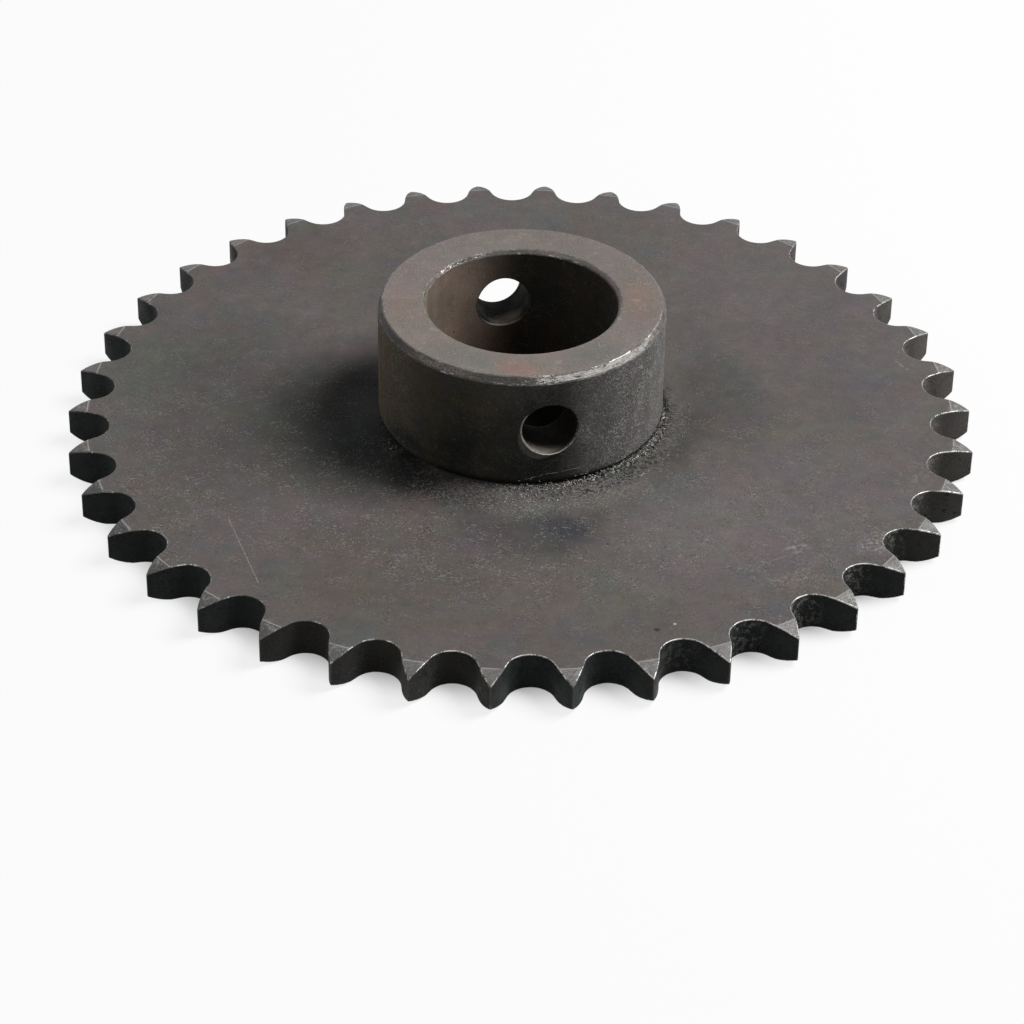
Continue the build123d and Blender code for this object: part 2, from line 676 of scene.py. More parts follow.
class PitMarks(Effect):
    """Scattered small pits, each dark with a light rim on its edge."""

    name = "pit_marks"
    takes = ("Place", "Size", "Share")
    gives = ("Pit", "Rim")

    def wire(self) -> None:
        """Cut discs of different sizes out of some of the cells."""
        place, size, share = self.given
        place = self.vectors("MULTIPLY_ADD", self.wander(place, 0.7, 3, 0.7), (1.6,) * 3, place)
        feeds = {"Vector": place, "Scale": self.maths("DIVIDE", 1.0, size)}
        cells = self.node("TexVoronoi", feeds).outputs
        parts = self.node("SeparateColor", {0: cells["Color"]}).outputs
        chosen = self.maths("LESS_THAN", parts[0], share)
        radius = self.maths("MULTIPLY_ADD", parts[1], 0.2, 0.1)
        pit = self.step(cells["Distance"], radius, self.times(radius, 0.6))
        rim = self.minus(self.step(cells["Distance"], self.times(radius, 1.6), radius), pit)
        self.give(self.times(pit, chosen), self.times(rim, chosen))


class BrokenWearAndHighlight(Effect):
    """Patches and crumbs for rubbed bright metal, painted highlights and crumbled blots, and how
    bright each of them is.
    """

    name = "broken_wear_and_highlight"
    takes = ("Place", "Size", "Cover")
    gives = ("Mask", "Tone")

    def lay(self, place: Feed) -> Feed:
        """Lay the pattern on the place as it is."""
        return place

    def wire(self) -> None:
        """Cut patches out of noise, and let fine noise eat into them."""
        place, size, cover = self.given
        place = self.lay(place)
        patch = self.noise(place, size, 4, 0.65)
        crumb = self.noise(place, self.times(size, 0.16), 2, 0.6)
        both = self.plus(self.times(patch, 0.6), self.times(crumb, 0.4))
        low = self.minus(0.72, self.times(cover, 0.44))
        away = self.vectors("ADD", place, (19.0, 7.0, 3.0))
        tone = self.noise(away, self.times(size, 0.5), 4, 0.75)
        self.give(self.step(both, low, self.plus(low, 0.06)), self.step(tone, 0.36, 0.64))


class StreakedWearAndHighlight(BrokenWearAndHighlight):
    """Rubbed metal and painted highlight on a turned face: the patches are drawn out round the
    shaft axis.
    """

    name = "streaked_wear_and_highlight"
    arc_radius = 31.0
    stretch = 3

    def lay(self, place: Feed) -> Feed:
        """Lay the pattern on the arc from the front, shortened, the radius and the height.

        Args:
            place: the place.

        Returns:
            The place along these three.
        """
        parts = self.node("SeparateXYZ", {0: place}).outputs
        back = [self.times(parts[axis], -1.0) for axis in ("X", "Y")]
        arc = self.times(self.maths("ARCTAN2", *back), self.arc_radius / self.stretch)
        feeds = {"X": arc, "Y": self.from_axis(place), "Z": parts["Z"]}
        return self.node("CombineXYZ", feeds).outputs[0]


# ------------------------------------------------------------------------------ finishes
Way = tuple[float, float, float]
Crumbs = tuple[float, float]


@dataclass(frozen=True)
class SideTintAndLight:
    """A tint of what lies one way, real colour in some finishes and painted light and shade in
    others: the way is a bearing, its half width and its soft edge.
    """

    way: Way
    colour: Colour
    strength: float = 1.0
    size: float = 5.0


@dataclass(frozen=True)
class StainAndLight:
    """A blot, a real stain in some finishes and painted shadows, shade and highlights in others:
    its place is a radius and a bearing, its reach half sizes along and across that.

    Crumbs, here and elsewhere, are their size and how much of the surface they cover.
    """

    at: tuple[float, float]
    reach: tuple[float, float]
    colour: Colour
    strength: float = 0.8
    ragged: float = 14.0
    core: float = 0.2
    height: float = PLATE_TOP
    rise: float = 6.0
    crumbs: Crumbs | None = None


@dataclass(frozen=True)
class Ring:
    """A band round the shaft axis, all round or one way, even or in crumbs."""

    radius: float
    width: float
    colour: Colour
    strength: float = 0.5
    height: float = PLATE_TOP
    ragged: float = 0.0
    way: Way | None = None
    crumbs: Crumbs | None = None


@dataclass(frozen=True)
class Stroke:
    """A single scratch or mark on the plate: each end is a radius and a bearing."""

    start: tuple[float, float]
    end: tuple[float, float]
    width: float
    strength: float
    colour: Colour | None = None


@dataclass(frozen=True)
class Scratches:
    """Hair-thin scratches that run one way."""

    turn: float
    length: float
    gap: float
    width: float
    strength: float


@dataclass(frozen=True)
class WearAndHighlight:
    """Bright metal where the surface is rubbed, with more of it one way, which paints a highlight.
    """

    size: float
    cover: float
    colour: Colour
    roughness: float
    way: Way
    more: float
    kind: type[BrokenWearAndHighlight] = BrokenWearAndHighlight
    dull: float = 0.45
    metallic: float = 0.9


@dataclass(frozen=True)
class Calm:
    """Where the specks and the grain are weaker: one way, past a radius."""

    way: Way
    strength: float
    beyond: float = 0.0
    soft: float = 9.0


@dataclass(frozen=True)
class Steel:
    """Steel: tints that drift, side tints, blots, specks, scratches and rubbed metal over a fine
    relief; some of them paint light and shade.
    """

    name: str
    tints: tuple[Colour, Colour, Colour]
    drift: float = 26.0
    specular: float = 0.25
    roughness: tuple[float, float] = (0.5, 0.75)
    metallic: float = 0.0
    speck_size: float = 0.3
    speck_level: float = 0.66
    speck_colour: Colour = (0.42, 0.4, 0.37)
    bright: float = 0.3
    dark: float = 0.45
    dark_colour: Colour = (0.008, 0.008, 0.008)
    grain: float = 0.16
    mottle: float = 1.0
    relief: float = 0.035
    sides: tuple[SideTintAndLight, ...] = ()
    stains_and_light: tuple[StainAndLight, ...] = ()
    rings: tuple[Ring, ...] = ()
    strokes: tuple[Stroke, ...] = ()
    scratches: tuple[Scratches, ...] = ()
    pit_size: float = 0.0
    pit_share: float = 0.2
    pit_rim: float = 0.12
    pit_depth: float = 0.85
    pit_colour: Colour = (0.006, 0.006, 0.006)
    wear_and_highlight: WearAndHighlight | None = None
    calm: tuple[Calm, ...] = ()

    def make(self) -> bpy.types.Material:
        """Build the material.

        Returns:
            The material, all of it on object coordinates.
        """
        made = bpy.data.materials.new(self.name)
        made.use_nodes = True
        Painter(self, made.node_tree).paint()
        return made


class Painter(Wiring):
    """The wiring of one steel: its layers are laid over the colour one by one.

    Each of the grains has a size, a share of the steel's grain, and 1 where it tints.
    """

    grains = ((0.4, 0.55, 0), (1.5, 0.2, 1), (3.4, 0.4, 0), (9.0, 0.22, 1))
    fine = 2.0
    clouds = (0.3, 0.6)

    def __init__(self, steel: Steel, tree: bpy.types.NodeTree) -> None:
        """Take a steel, and lay its tints.

        Args:
            steel: the steel.
            tree: its material's tree.
        """
        super().__init__(tree)
        self.steel = steel
        self.place = self.millimetres()
        tints = dict(zip(COLOURS, steel.tints))
        drift = self.effect(TintDrift, Place=self.place, Size=steel.drift, **tints)
        self.colour = drift["Colour"]
        low, high = steel.roughness
        feeds = {"Value": drift["Drift"], "From Min": 0.3, "From Max": 0.7}
        feeds |= {"To Min": low, "To Max": high}
        self.rough = self.node("MapRange", feeds).outputs["Result"]
        self.metallic: Feed = steel.metallic
        self.lively: Feed = 1.0

    def paint(self) -> None:
        """Lay all layers, and feed the shader."""
        steel, shader = self.steel, self.tree.nodes["Principled BSDF"]
        self._side_tints_and_light()
        self._calm()
        self._stains_and_light()
        self._grain()
        relief = self._specks()
        self._lines()
        self._rings()
        self._pits()
        self._rub_and_highlight()
        bump = {"Height": relief, "Strength": 1.0, "Distance": steel.relief * MM}
        feeds = {
            "Base Color": self.colour,
            "Roughness": self.rough,
            "Metallic": self.metallic,
            "Specular IOR Level": steel.specular,
            "Normal": self.node("Bump", bump).outputs["Normal"],
        }
        for name, value in feeds.items():
            self.feed(shader.inputs[name], value)

    def _lay(self, mask: Feed, share: Feed, tint: Feed) -> None:
        """Lay a tint over the colour, by a share of a mask."""
        self.colour = self.mix(self.times(mask, share), self.colour, tint)

    def _towards(self, way: Way) -> Socket:
        """Mask of what lies one way."""
        feeds = dict(zip(TurnedTowards.takes, (self.place, *way)))
        return self.effect(TurnedTowards, **feeds)["Mask"]

    def _crumbs(self, mask: Feed, crumbs: Crumbs | None) -> Feed:
        """Break a mask into crumbs.

        Args:
            mask: the mask.
            crumbs: the size and the cover of its crumbs, where it has any.

        Returns:
            The broken mask, or the mask itself.
        """
        if not crumbs:
            return mask
        size, cover = crumbs
        broken = self.effect(BrokenWearAndHighlight, Place=self.place, Size=size, Cover=cover)
        return self.times(mask, broken["Mask"])

    def _side_tints_and_light(self) -> None:
        """Tint what lies each side's way, in soft clouds: real colours, and painted light and
        shade.
        """
        for side in self.steel.sides:
            mask = self._towards(side.way)
            cloud = self.step(self.noise(self.place, side.size, 4, 0.6), *self.clouds)
            self._lay(self.times(mask, cloud), side.strength, side.colour)

    def _calm(self) -> None:
        """Find how strong the specks and the grain are: weaker where the steel is calm."""
        for calm in self.steel.calm:
            mask = self._towards(calm.way)
            if calm.beyond:
                edges = (calm.beyond - calm.soft, calm.beyond + calm.soft)
                mask = self.times(mask, self.step(self.from_axis(self.place), *edges))
            weaker = self.maths("MULTIPLY_ADD", mask, -calm.strength, 1.0)
            self.lively = self.times(self.lively, weaker)

    def _stains_and_light(self) -> None:
        """Lay each blot, real stain and painted light and shade alike."""
        for stain in self.steel.stains_and_light:
            feeds = {
                "Centre": tuple(polar(*stain.at, stain.height)),
                "Turn": stain.at[1] - 90,
                "Reach": (*stain.reach, stain.rise),
                "Ragged": stain.ragged,
                "Core": stain.core,
            }
            mask = self.effect(StainAndLightBlot, Place=self.place, **feeds)["Mask"]
            self._lay(self._crumbs(mask, stain.crumbs), stain.strength, stain.colour)

    def _grain(self) -> None:
        """Make the colour lighter and darker in fine grains, and tint them faintly."""
        steel = self.steel
        for size, share, tint in self.grains:
            off = self.vectors("SUBTRACT", self.noise(self.place, size, 4, 0.7, tint), HALVES)
            strength = self.lively if size < self.fine else steel.mottle
            scale = self.times(strength, 5 * steel.grain * share)
            shade = self.vectors("MULTIPLY_ADD", off, scale, ONES)
            self.colour = self.vectors("MULTIPLY", self.colour, shade)

    def _specks(self) -> Socket:
        """Lay the dark dots and the bright strokes.

        Returns:
            Their relief.
        """
        steel = self.steel
        feeds = {"Size": steel.speck_size, "Level": steel.speck_level}
        specks = self.effect(FibreSpecks, Place=self.place, **feeds)
        self._lay(specks["Dark"], self.times(self.lively, steel.dark), steel.dark_colour)
        self._lay(specks["Bright"], self.times(self.lively, steel.bright), steel.speck_colour)
        return specks["Relief"]

    def _lines(self) -> None:
        """Draw the hair scratches and the single strokes."""
        for run in self.steel.scratches:
            feeds = dict(zip(HairScratches.takes, (self.place, run.turn, run.length, run.gap)))
            mask = self.effect(HairScratches, Width=run.width, **feeds)["Mask"]
            self._lay(mask, run.strength, self.steel.speck_colour)
        for stroke in self.steel.strokes:
            start, end = (tuple(polar(*at, PLATE_TOP)) for at in (stroke.start, stroke.end))
            feeds = {"Start": start, "End": end, "Width": stroke.width}
            mask = self.effect(PlacedStroke, Place=self.place, **feeds)["Mask"]
            self._lay(mask, stroke.strength, stroke.colour or self.steel.speck_colour)

    def _rings(self) -> None:
        """Lay each ring."""
        for ring in self.steel.rings:
            feeds = {"Radius": ring.radius, "Width": ring.width}
            feeds |= {"Height": ring.height, "Ragged": ring.ragged}
            mask = self.effect(RingBand, Place=self.place, **feeds)["Mask"]
            if ring.way:
                mask = self.times(mask, self._towards(ring.way))
            self._lay(self._crumbs(mask, ring.crumbs), ring.strength, ring.colour)

    def _pits(self) -> None:
        """Lay the pits and their rims, where the steel has any."""
        steel = self.steel
        if steel.pit_size:
            feeds = {"Size": steel.pit_size, "Share": steel.pit_share}
            pits = self.effect(PitMarks, Place=self.place, **feeds)
            self._lay(pits["Rim"], steel.pit_rim, steel.speck_colour)
            self._lay(pits["Pit"], steel.pit_depth, steel.pit_colour)

    def _rub_and_highlight(self) -> None:
        """Rub the surface bright in patches where the steel is worn, with more one way as a painted
        highlight.
        """
        wear_and_highlight = self.steel.wear_and_highlight
        if not wear_and_highlight:
            return
        # The extra cover one way paints a highlight.
        cover = self.maths("MULTIPLY_ADD", self._towards(wear_and_highlight.way), wear_and_highlight.more, wear_and_highlight.cover)
        worn = self.effect(wear_and_highlight.kind, Place=self.place, Size=wear_and_highlight.size, Cover=cover)
        mask, low = worn["Mask"], self.steel.metallic
        dull = tuple(wear_and_highlight.dull * share for share in wear_and_highlight.colour)
        self.colour = self.mix(mask, self.colour, self.mix(worn["Tone"], dull, wear_and_highlight.colour))
        self.metallic = self.maths("MULTIPLY_ADD", mask, wear_and_highlight.metallic - low, low)
        feeds = {"Factor": mask, "A": self.rough, "B": wear_and_highlight.roughness}
        self.rough = self.node("Mix", feeds, data_type="FLOAT").outputs["Result"]


PLATE_TINTS = ((0.118, 0.101, 0.0995), (0.111, 0.099, 0.0915), (0.1005, 0.098, 0.098))
PLATE_STAINS_AND_SHADE = (
    # Painted shade: the plate darker on the left, away from the lamp.
    StainAndLight((60, 278), (32, 52), (0.064, 0.062, 0.059), 0.75),
    StainAndLight((45, 94), (16, 30), (0.062, 0.061, 0.06), 0.6),
    StainAndLight((48, 187), (15, 32), (0.04, 0.04, 0.04), 0.5),
    StainAndLight((48.5, 179), (9, 10), (0.028, 0.03, 0.044), 0.55),
    StainAndLight((70, 212), (26, 44), (0.1, 0.09, 0.078), 0.6, ragged=20),
    StainAndLight((69, 221), (16, 22), (0.108, 0.086, 0.07), 0.35),
    StainAndLight((74, 188), (16, 28), (0.126, 0.108, 0.092), 0.5),
    StainAndLight((86, 290), (14, 24), (0.086, 0.094, 0.08), 0.6),
    StainAndLight((84, 333), (16, 22), (0.1, 0.08, 0.075), 0.6),
    StainAndLight((72, 74), (36, 62), (0.117, 0.103, 0.104), 0.65, ragged=20),
    StainAndLight((72, 132), (34, 44), (0.134, 0.12, 0.121), 0.65, ragged=20),
    StainAndLight((62, 155), (24, 32), (0.146, 0.131, 0.131), 0.7, ragged=16),
    StainAndLight((80, 297), (20, 30), (0.085, 0.085, 0.082), 0.3),
    StainAndLight((78, 92), (14, 20), (0.09, 0.094, 0.1), 0.35),
    # The next six blots are the painted shadow of the hub on the plate to its left, over a dark oil
    # smudge.
    StainAndLight((42, 262), (20, 36), (0.03, 0.034, 0.031), 0.8, ragged=12),
    StainAndLight((36, 290), (11, 18), (0.01, 0.0125, 0.012), 0.9, ragged=8),
    StainAndLight((37, 258), (12, 19), (0.0028, 0.005, 0.0045), 0.99, ragged=7),
    StainAndLight((37, 229), (9.5, 15), (0.006, 0.008, 0.0075), 0.95, ragged=8),
    StainAndLight((33.2, 240), (3.6, 10), (0.0025, 0.0042, 0.0036), 0.95, ragged=3),
    StainAndLight((38.5, 208), (7, 9), (0.02, 0.023, 0.022), 0.5, ragged=9),
    StainAndLight((38, 122), (7, 22), (0.045, 0.044, 0.042), 0.6, ragged=9),
    StainAndLight((79, 144), (3, 4), (0.34, 0.325, 0.31), 0.6, ragged=6, crumbs=(0.9, 0.52)),
    StainAndLight((90.5, 136), (4, 9), (0.36, 0.35, 0.335), 0.6, ragged=8, crumbs=(0.8, 0.5)),
    StainAndLight((86, 149), (4, 8), (0.32, 0.3, 0.28), 0.5, ragged=8, crumbs=(0.8, 0.48)),
    StainAndLight((90, 118), (3, 8), (0.3, 0.29, 0.28), 0.35, ragged=8, crumbs=(0.8, 0.46)),
    StainAndLight((86.1, 169.9), (0.5, 0.5), (0.5, 0.5, 0.48), 0.9, ragged=0.4),
    StainAndLight((86.8, 172.7), (0.9, 0.9), (0.015, 0.015, 0.015), 0.9, ragged=1.2),
)
PLATE_RINGS = (
    Ring(34.5, 5.0, (0.22, 0.205, 0.185), 0.45, ragged=6, way=(165, 45, 50), crumbs=(1.0, 0.46)),
    Ring(37.5, 7.0, (0.33, 0.325, 0.29), 0.75, ragged=6, way=(190, 28, 16), crumbs=(0.5, 0.44)),
    Ring(33.0, 2.4, (0.42, 0.41, 0.37), 0.7, ragged=3, way=(192, 16, 16), crumbs=(0.8, 0.46)),
    # Painted shade in the corner at the hub's foot, on the right.
    Ring(31.8, 1.6, (0.008, 0.008, 0.007), 0.9, ragged=2.5, way=(125, 42, 16)),
    Ring(34.8, 4.6, (0.012, 0.012, 0.011), 0.85, ragged=6, way=(160, 20, 18), crumbs=(0.8, 0.54)),
    Ring(33.2, 2.4, (0.012, 0.012, 0.011), 0.75, ragged=3, way=(116, 26, 18), crumbs=(0.8, 0.5)),
    Ring(33.5, 4.0, (0.035, 0.04, 0.06), 0.5, height=0, ragged=3),
    Ring(38.5, 3.5, (0.1, 0.07, 0.045), 0.45, height=0, ragged=5),
)
TOOTH_RINGS = (
    Ring(95.95, 0.24, (0.36, 0.35, 0.34), 0.75, ragged=0.35, crumbs=(5, 0.8)),
    Ring(97.2, 2.6, (0.34, 0.33, 0.32), 0.5, ragged=4, crumbs=(1.5, 0.44)),
)
PLATE_STROKES = (
    Stroke((76.2, 245.9), (86.9, 229.8), 0.17, 0.7),
    Stroke((91.5, 133.5), (97.5, 138.0), 0.2, 0.5),
    Stroke((87.5, 88.0), (89.3, 90.6), 0.22, 0.6),
    Stroke((77.3, 144.6), (79.4, 142.2), 0.24, 0.55),
    Stroke((79.0, 146.4), (78.2, 149.0), 0.2, 0.45),
    Stroke((84.5, 151.2), (83.0, 152.6), 0.2, 0.4),
    Stroke((32.2, 192.2), (35.6, 192.4), 0.3, 0.95, colour=(0.008, 0.008, 0.007)),
    Stroke((34.0, 191.0), (35.4, 191.0), 0.3, 0.9, colour=(0.6, 0.6, 0.56)),
)
PLATE_FACE = Steel(
    "plate_face",
    PLATE_TINTS,
    drift=22,
    specular=0.09,
    speck_size=0.33,
    speck_level=0.672,
    speck_colour=(0.3, 0.28, 0.265),
    bright=0.49,
    dark=0.55,
    grain=0.2,
    mottle=1.5,
    stains_and_light=PLATE_STAINS_AND_SHADE,
    rings=(*PLATE_RINGS, *TOOTH_RINGS),
    strokes=PLATE_STROKES,
    scratches=(Scratches(35, 10, 1.6, 0.014, 0.14), Scratches(118, 9, 1.8, 0.014, 0.14)),
    calm=(Calm((22, 66, 80), 0.6), Calm((199, 29, 20), 0.52, 74)),
)
TOOTH_SIDE = Steel(
    "tooth_side",
    ((0.115, 0.106, 0.102), (0.104, 0.1, 0.097), (0.125, 0.117, 0.113)),
    specular=0.3,
    roughness=(0.4, 0.6),
    drift=6,
    speck_size=0.26,
    speck_level=0.62,
    speck_colour=(0.5, 0.49, 0.47),
    bright=0.5,
    calm=(Calm((330, 90, 50), 0.65), Calm((195, 26, 20), 0.6)),
    # Painted light and shade on the sloped tooth sides: the first tint, towards the front-right, is
    # a painted highlight on silvery rubbed metal; the others darken the back and the left.
    sides=(
        SideTintAndLight((138, 28, 40), (0.2, 0.19, 0.185), 0.8, 3),
        SideTintAndLight((60, 30, 40), (0.084, 0.078, 0.075), 0.95, 40),
        SideTintAndLight((320, 50, 40), (0.092, 0.086, 0.082), 0.9, 40),
        SideTintAndLight((240, 14, 20), (0.022, 0.023, 0.024), 0.85, 40),
        SideTintAndLight((8, 26, 24), (0.045, 0.044, 0.044), 0.85, 40),
    ),
    rings=TOOTH_RINGS,
)
GAP_WALL = Steel(
    "gap_wall",
    # Near-black tints: black oil on the gap walls, made darker still as painted shade.
    ((0.022, 0.0265, 0.026), (0.03, 0.033, 0.031), (0.014, 0.0185, 0.019)),
    specular=0.09,
    drift=5,
    speck_size=0.4,
    speck_colour=(0.13, 0.14, 0.137),
    bright=0.2,
    dark=0.6,
    grain=0.26,
    relief=0.09,
    sides=(
        # Painted light: walls on the lamp's side lighter.
        SideTintAndLight((72, 24, 46), (0.125, 0.113, 0.105), 0.98, 60),
        SideTintAndLight((211, 8, 12), (0.042, 0.037, 0.031), 0.7, 3),
    ),
    stains_and_light=(
        # Painted light on the wall of a front gap that faces the lamp.
        StainAndLight(
            (97.5, 195.5), (3, 3.2), (0.13, 0.125, 0.115), 0.8, height=5, ragged=3,
            crumbs=(1.4, 0.5),
        ),
        StainAndLight((97, 233), (3, 3), (0.07, 0.078, 0.078), 0.8, height=4, ragged=3),
    ),
    rings=(
        Ring(
            90.0, 4.8, (0.32, 0.305, 0.295), 0.9, height=4.2, ragged=3, way=(100, 50, 34),
            crumbs=(1.3, 0.47),
        ),
        Ring(
            90.5, 3.0, (0.02, 0.02, 0.019), 0.8, height=5.5, ragged=4, way=(92, 50, 34),
            crumbs=(0.9, 0.42),
        ),
    ),
    pit_size=2.2,
    pit_share=0.22,
    pit_rim=0.0,
)
PLATE_EDGE = Steel(
    "plate_edge",
    ((0.1, 0.094, 0.09), (0.12, 0.114, 0.108), (0.07, 0.067, 0.063)),
    drift=3,
    # Rubbed edges all round, with more towards the front-right as a painted highlight.
    wear_and_highlight=WearAndHighlight(2.0, 0.4, (0.44, 0.425, 0.405), roughness=0.4, way=(128, 44, 60), more=0.26),
    stains_and_light=(
        StainAndLight(
            (92, 241), (5, 22), (0.8, 0.8, 0.78), 0.9, height=8.4, rise=2.5, ragged=2,
            crumbs=(0.9, 0.5),
        ),
    ),
)
TIP_CORNER = Steel(
    "tip_corner",
    ((0.06, 0.058, 0.056), (0.08, 0.077, 0.074), (0.04, 0.04, 0.039)),
    drift=3,
    specular=0.2,
    # Rubbed tip corners, brighter towards the front-right as a painted highlight.
    wear_and_highlight=WearAndHighlight(1.4, 0.16, (0.42, 0.405, 0.39), roughness=0.45, way=(108, 32, 26), more=0.44),
)
HUB_SIDE = Steel(
    "hub_side",
    ((0.098, 0.094, 0.091), (0.084, 0.089, 0.086), (0.104, 0.09, 0.092)),
    drift=9,
    specular=0.115,
    speck_level=0.612,
    speck_colour=(0.37, 0.36, 0.35),
    grain=0.38,
    bright=0.85,
    sides=(
        SideTintAndLight((258, 40, 30), (0.105, 0.084, 0.046), 0.9),
        SideTintAndLight((272, 16, 20), (0.13, 0.09, 0.046), 0.7, 8),
        # Painted shade: the front, which faces away from the lamp, near black.
        SideTintAndLight((202, 22, 24), (0.012, 0.0135, 0.01), 0.98, 60),
        # Painted light: lighter on the side towards the lamp.
        SideTintAndLight((122, 30, 30), (0.147, 0.139, 0.134), 0.98, 60),
    ),
    stains_and_light=(
        StainAndLight(
            (HUB_RADIUS, 165.5), (3, 2.6), (0.5, 0.48, 0.45), 0.8, height=20.5, rise=3, ragged=3,
            crumbs=(0.7, 0.5),
        ),
        StainAndLight(
            (HUB_RADIUS, 183.3), (8, 5.5), (0.18, 0.172, 0.156), 0.92, height=20.7, rise=5.4,
            ragged=0.9, core=0.9, crumbs=(0.5, 0.72),
        ),
        StainAndLight(
            (HUB_RADIUS, 168), (3, 2.2), (0.42, 0.4, 0.38), 0.8, height=21.5, rise=3, ragged=3,
            crumbs=(0.6, 0.46),
        ),
        StainAndLight((HUB_RADIUS, 230), (3, 9), (0.075, 0.066, 0.048), 0.5, height=23, rise=7, ragged=3),
        StainAndLight((HUB_RADIUS, 245), (3, 11), (0.014, 0.019, 0.016), 0.9, height=12, rise=5, ragged=3),
    ),
    rings=(
        # Painted shade on the foot chamfer at the front, where the hub meets the plate.
        Ring(HUB_RADIUS, 4.0, (0.006, 0.006, 0.005), 0.9, height=6.3, way=(190, 26, 20)),
        Ring(HUB_RADIUS, 4.0, (0.012, 0.012, 0.011), 0.85, height=5.2, way=(170, 70, 40)),
    ),
    scratches=(Scratches(80, 5, 0.7, 0.03, 0.25), Scratches(150, 4, 0.6, 0.025, 0.2)),
    calm=(Calm((202, 24, 26), 0.86), Calm((250, 24, 24), 0.5), Calm((10, 60, 50), 0.6)),
)
NOSE_FACE = Steel(
    "nose_face",
    ((0.172, 0.14, 0.124), (0.165, 0.141, 0.13), (0.182, 0.142, 0.12)),
    drift=10,
    specular=0.3,
    roughness=(0.4, 0.6),
    bright=0.2,
    speck_size=0.24,
    speck_level=0.645,
    speck_colour=(0.42, 0.38, 0.34),
    grain=0.18,
    mottle=1.5,
    sides=(SideTintAndLight((36, 66, 50), (0.137, 0.117, 0.104), 0.9, 60),),
    stains_and_light=(
        StainAndLight((27.5, 194), (4, 8), (0.22, 0.12, 0.092), 0.6, height=NOSE_TOP, ragged=6),
        StainAndLight((26.5, 218), (6, 12), (0.135, 0.134, 0.115), 0.75, height=NOSE_TOP, ragged=6),
        StainAndLight((26.5, 156), (6, 13), (0.113, 0.115, 0.104), 0.85, height=NOSE_TOP, ragged=6),
        StainAndLight((26, 100), (5, 11), (0.21, 0.14, 0.11), 0.6, height=NOSE_TOP, ragged=6),
        StainAndLight((26, 271), (5, 9), (0.19, 0.13, 0.105), 0.5, height=NOSE_TOP, ragged=6),
        StainAndLight((26, 330), (5, 12), (0.14, 0.125, 0.118), 0.5, height=NOSE_TOP, ragged=6),
    ),
    rings=(
        Ring(
            30.0, 1.4, (0.34, 0.315, 0.3), 0.45, height=NOSE_TOP, ragged=2.5, way=(122, 24, 30),
            crumbs=(0.7, 0.44),
        ),
        Ring(
            29.8, 1.2, (0.34, 0.32, 0.3), 0.5, height=NOSE_TOP, ragged=2.5, way=(250, 50, 40),
            crumbs=(0.9, 0.4),
        ),
    ),
    scratches=(Scratches(20, 7, 0.9, 0.02, 0.35), Scratches(95, 5, 1.2, 0.02, 0.3)),
)
HUB_RIM = Steel(
    "hub_rim",
    ((0.115, 0.102, 0.094), (0.085, 0.078, 0.072), (0.14, 0.127, 0.117)),
    drift=4,
    grain=0.3,
    bright=0.4,
    stains_and_light=(
        # Painted highlight: a bright line on the chamfer at the front-left.
        StainAndLight(
            (31, 226), (3, 13), (0.42, 0.385, 0.32), 0.85, height=35.4, ragged=3,
            crumbs=(0.5, 0.58),
        ),
    ),
    # Mostly a painted highlight along the chamfer at the front-right, in rubbed-looking streaks.
    wear_and_highlight=WearAndHighlight(
        0.8, 0.06, (0.5, 0.48, 0.46), roughness=0.42, way=(156, 12, 36), more=0.62,
        kind=StreakedWearAndHighlight, dull=0.55,
    ),
)
HUB_CORNER = Steel(
    "hub_corner",
    ((0.16, 0.148, 0.138), (0.12, 0.11, 0.1), (0.09, 0.082, 0.076)),
    drift=3,
    specular=0.35,
    grain=0.3,
    # Rubbed corners, brighter towards the front-right as a painted highlight.
    wear_and_highlight=WearAndHighlight(
        1.7, 0.4, (0.34, 0.325, 0.305), roughness=0.45, way=(146, 14, 50), more=0.14,
        kind=StreakedWearAndHighlight,
    ),
)
BORE_MOUTH = Steel(
    "bore_mouth",
    ((0.1, 0.083, 0.073), (0.085, 0.072, 0.064), (0.12, 0.1, 0.09)),
    drift=3,
    specular=0.2,
    grain=0.3,
    bright=0.3,
    sides=(
        # Painted light: the mouth lighter on the right.
        SideTintAndLight((88, 46, 34), (0.3, 0.25, 0.225), 0.92, 60),
        SideTintAndLight((285, 20, 24), (0.175, 0.125, 0.102), 0.85, 2.5),
    ),
    # Rubbed metal, with more at the back-left as a painted highlight.
    wear_and_highlight=WearAndHighlight(1.0, 0.16, (0.45, 0.42, 0.38), roughness=0.4, way=(325, 20, 40), more=0.26),
)
BORE_WALL = Steel(
    "bore_wall",
    ((0.05, 0.044, 0.036), (0.03, 0.034, 0.03), (0.055, 0.045, 0.036)),
    drift=8,
    specular=0.08,
    bright=0.15,
    grain=0.18,
    sides=(
        # Painted light on the left wall, where the lamp shines in, in a warm brown.
        SideTintAndLight((286, 56, 30), (0.33, 0.25, 0.2), 0.98, 60),
        SideTintAndLight((300, 20, 30), (0.27, 0.19, 0.15), 0.5, 12),
    ),
    pit_size=2.4,
    pit_rim=0.15,
)
CROSS_HOLE_WALL = Steel(
    "cross_hole_wall",
    # Near-black tints: painted shade inside the hole.
    ((0.007, 0.007, 0.006), (0.01, 0.009, 0.007), (0.005, 0.0055, 0.005)),
    drift=3,
    specular=0.04,
    bright=0.05,
    grain=0.24,
    stains_and_light=(
        # Painted light on the lower walls at the near and the far mouth.
        StainAndLight((30.6, 184), (3.2, 6), (0.3, 0.26, 0.225), 0.95, height=17.3, rise=3.2, ragged=2),
        StainAndLight((23.0, 2), (2.8, 6), (0.5, 0.455, 0.4), 0.92, height=17.2, rise=4, ragged=3),
    ),
)
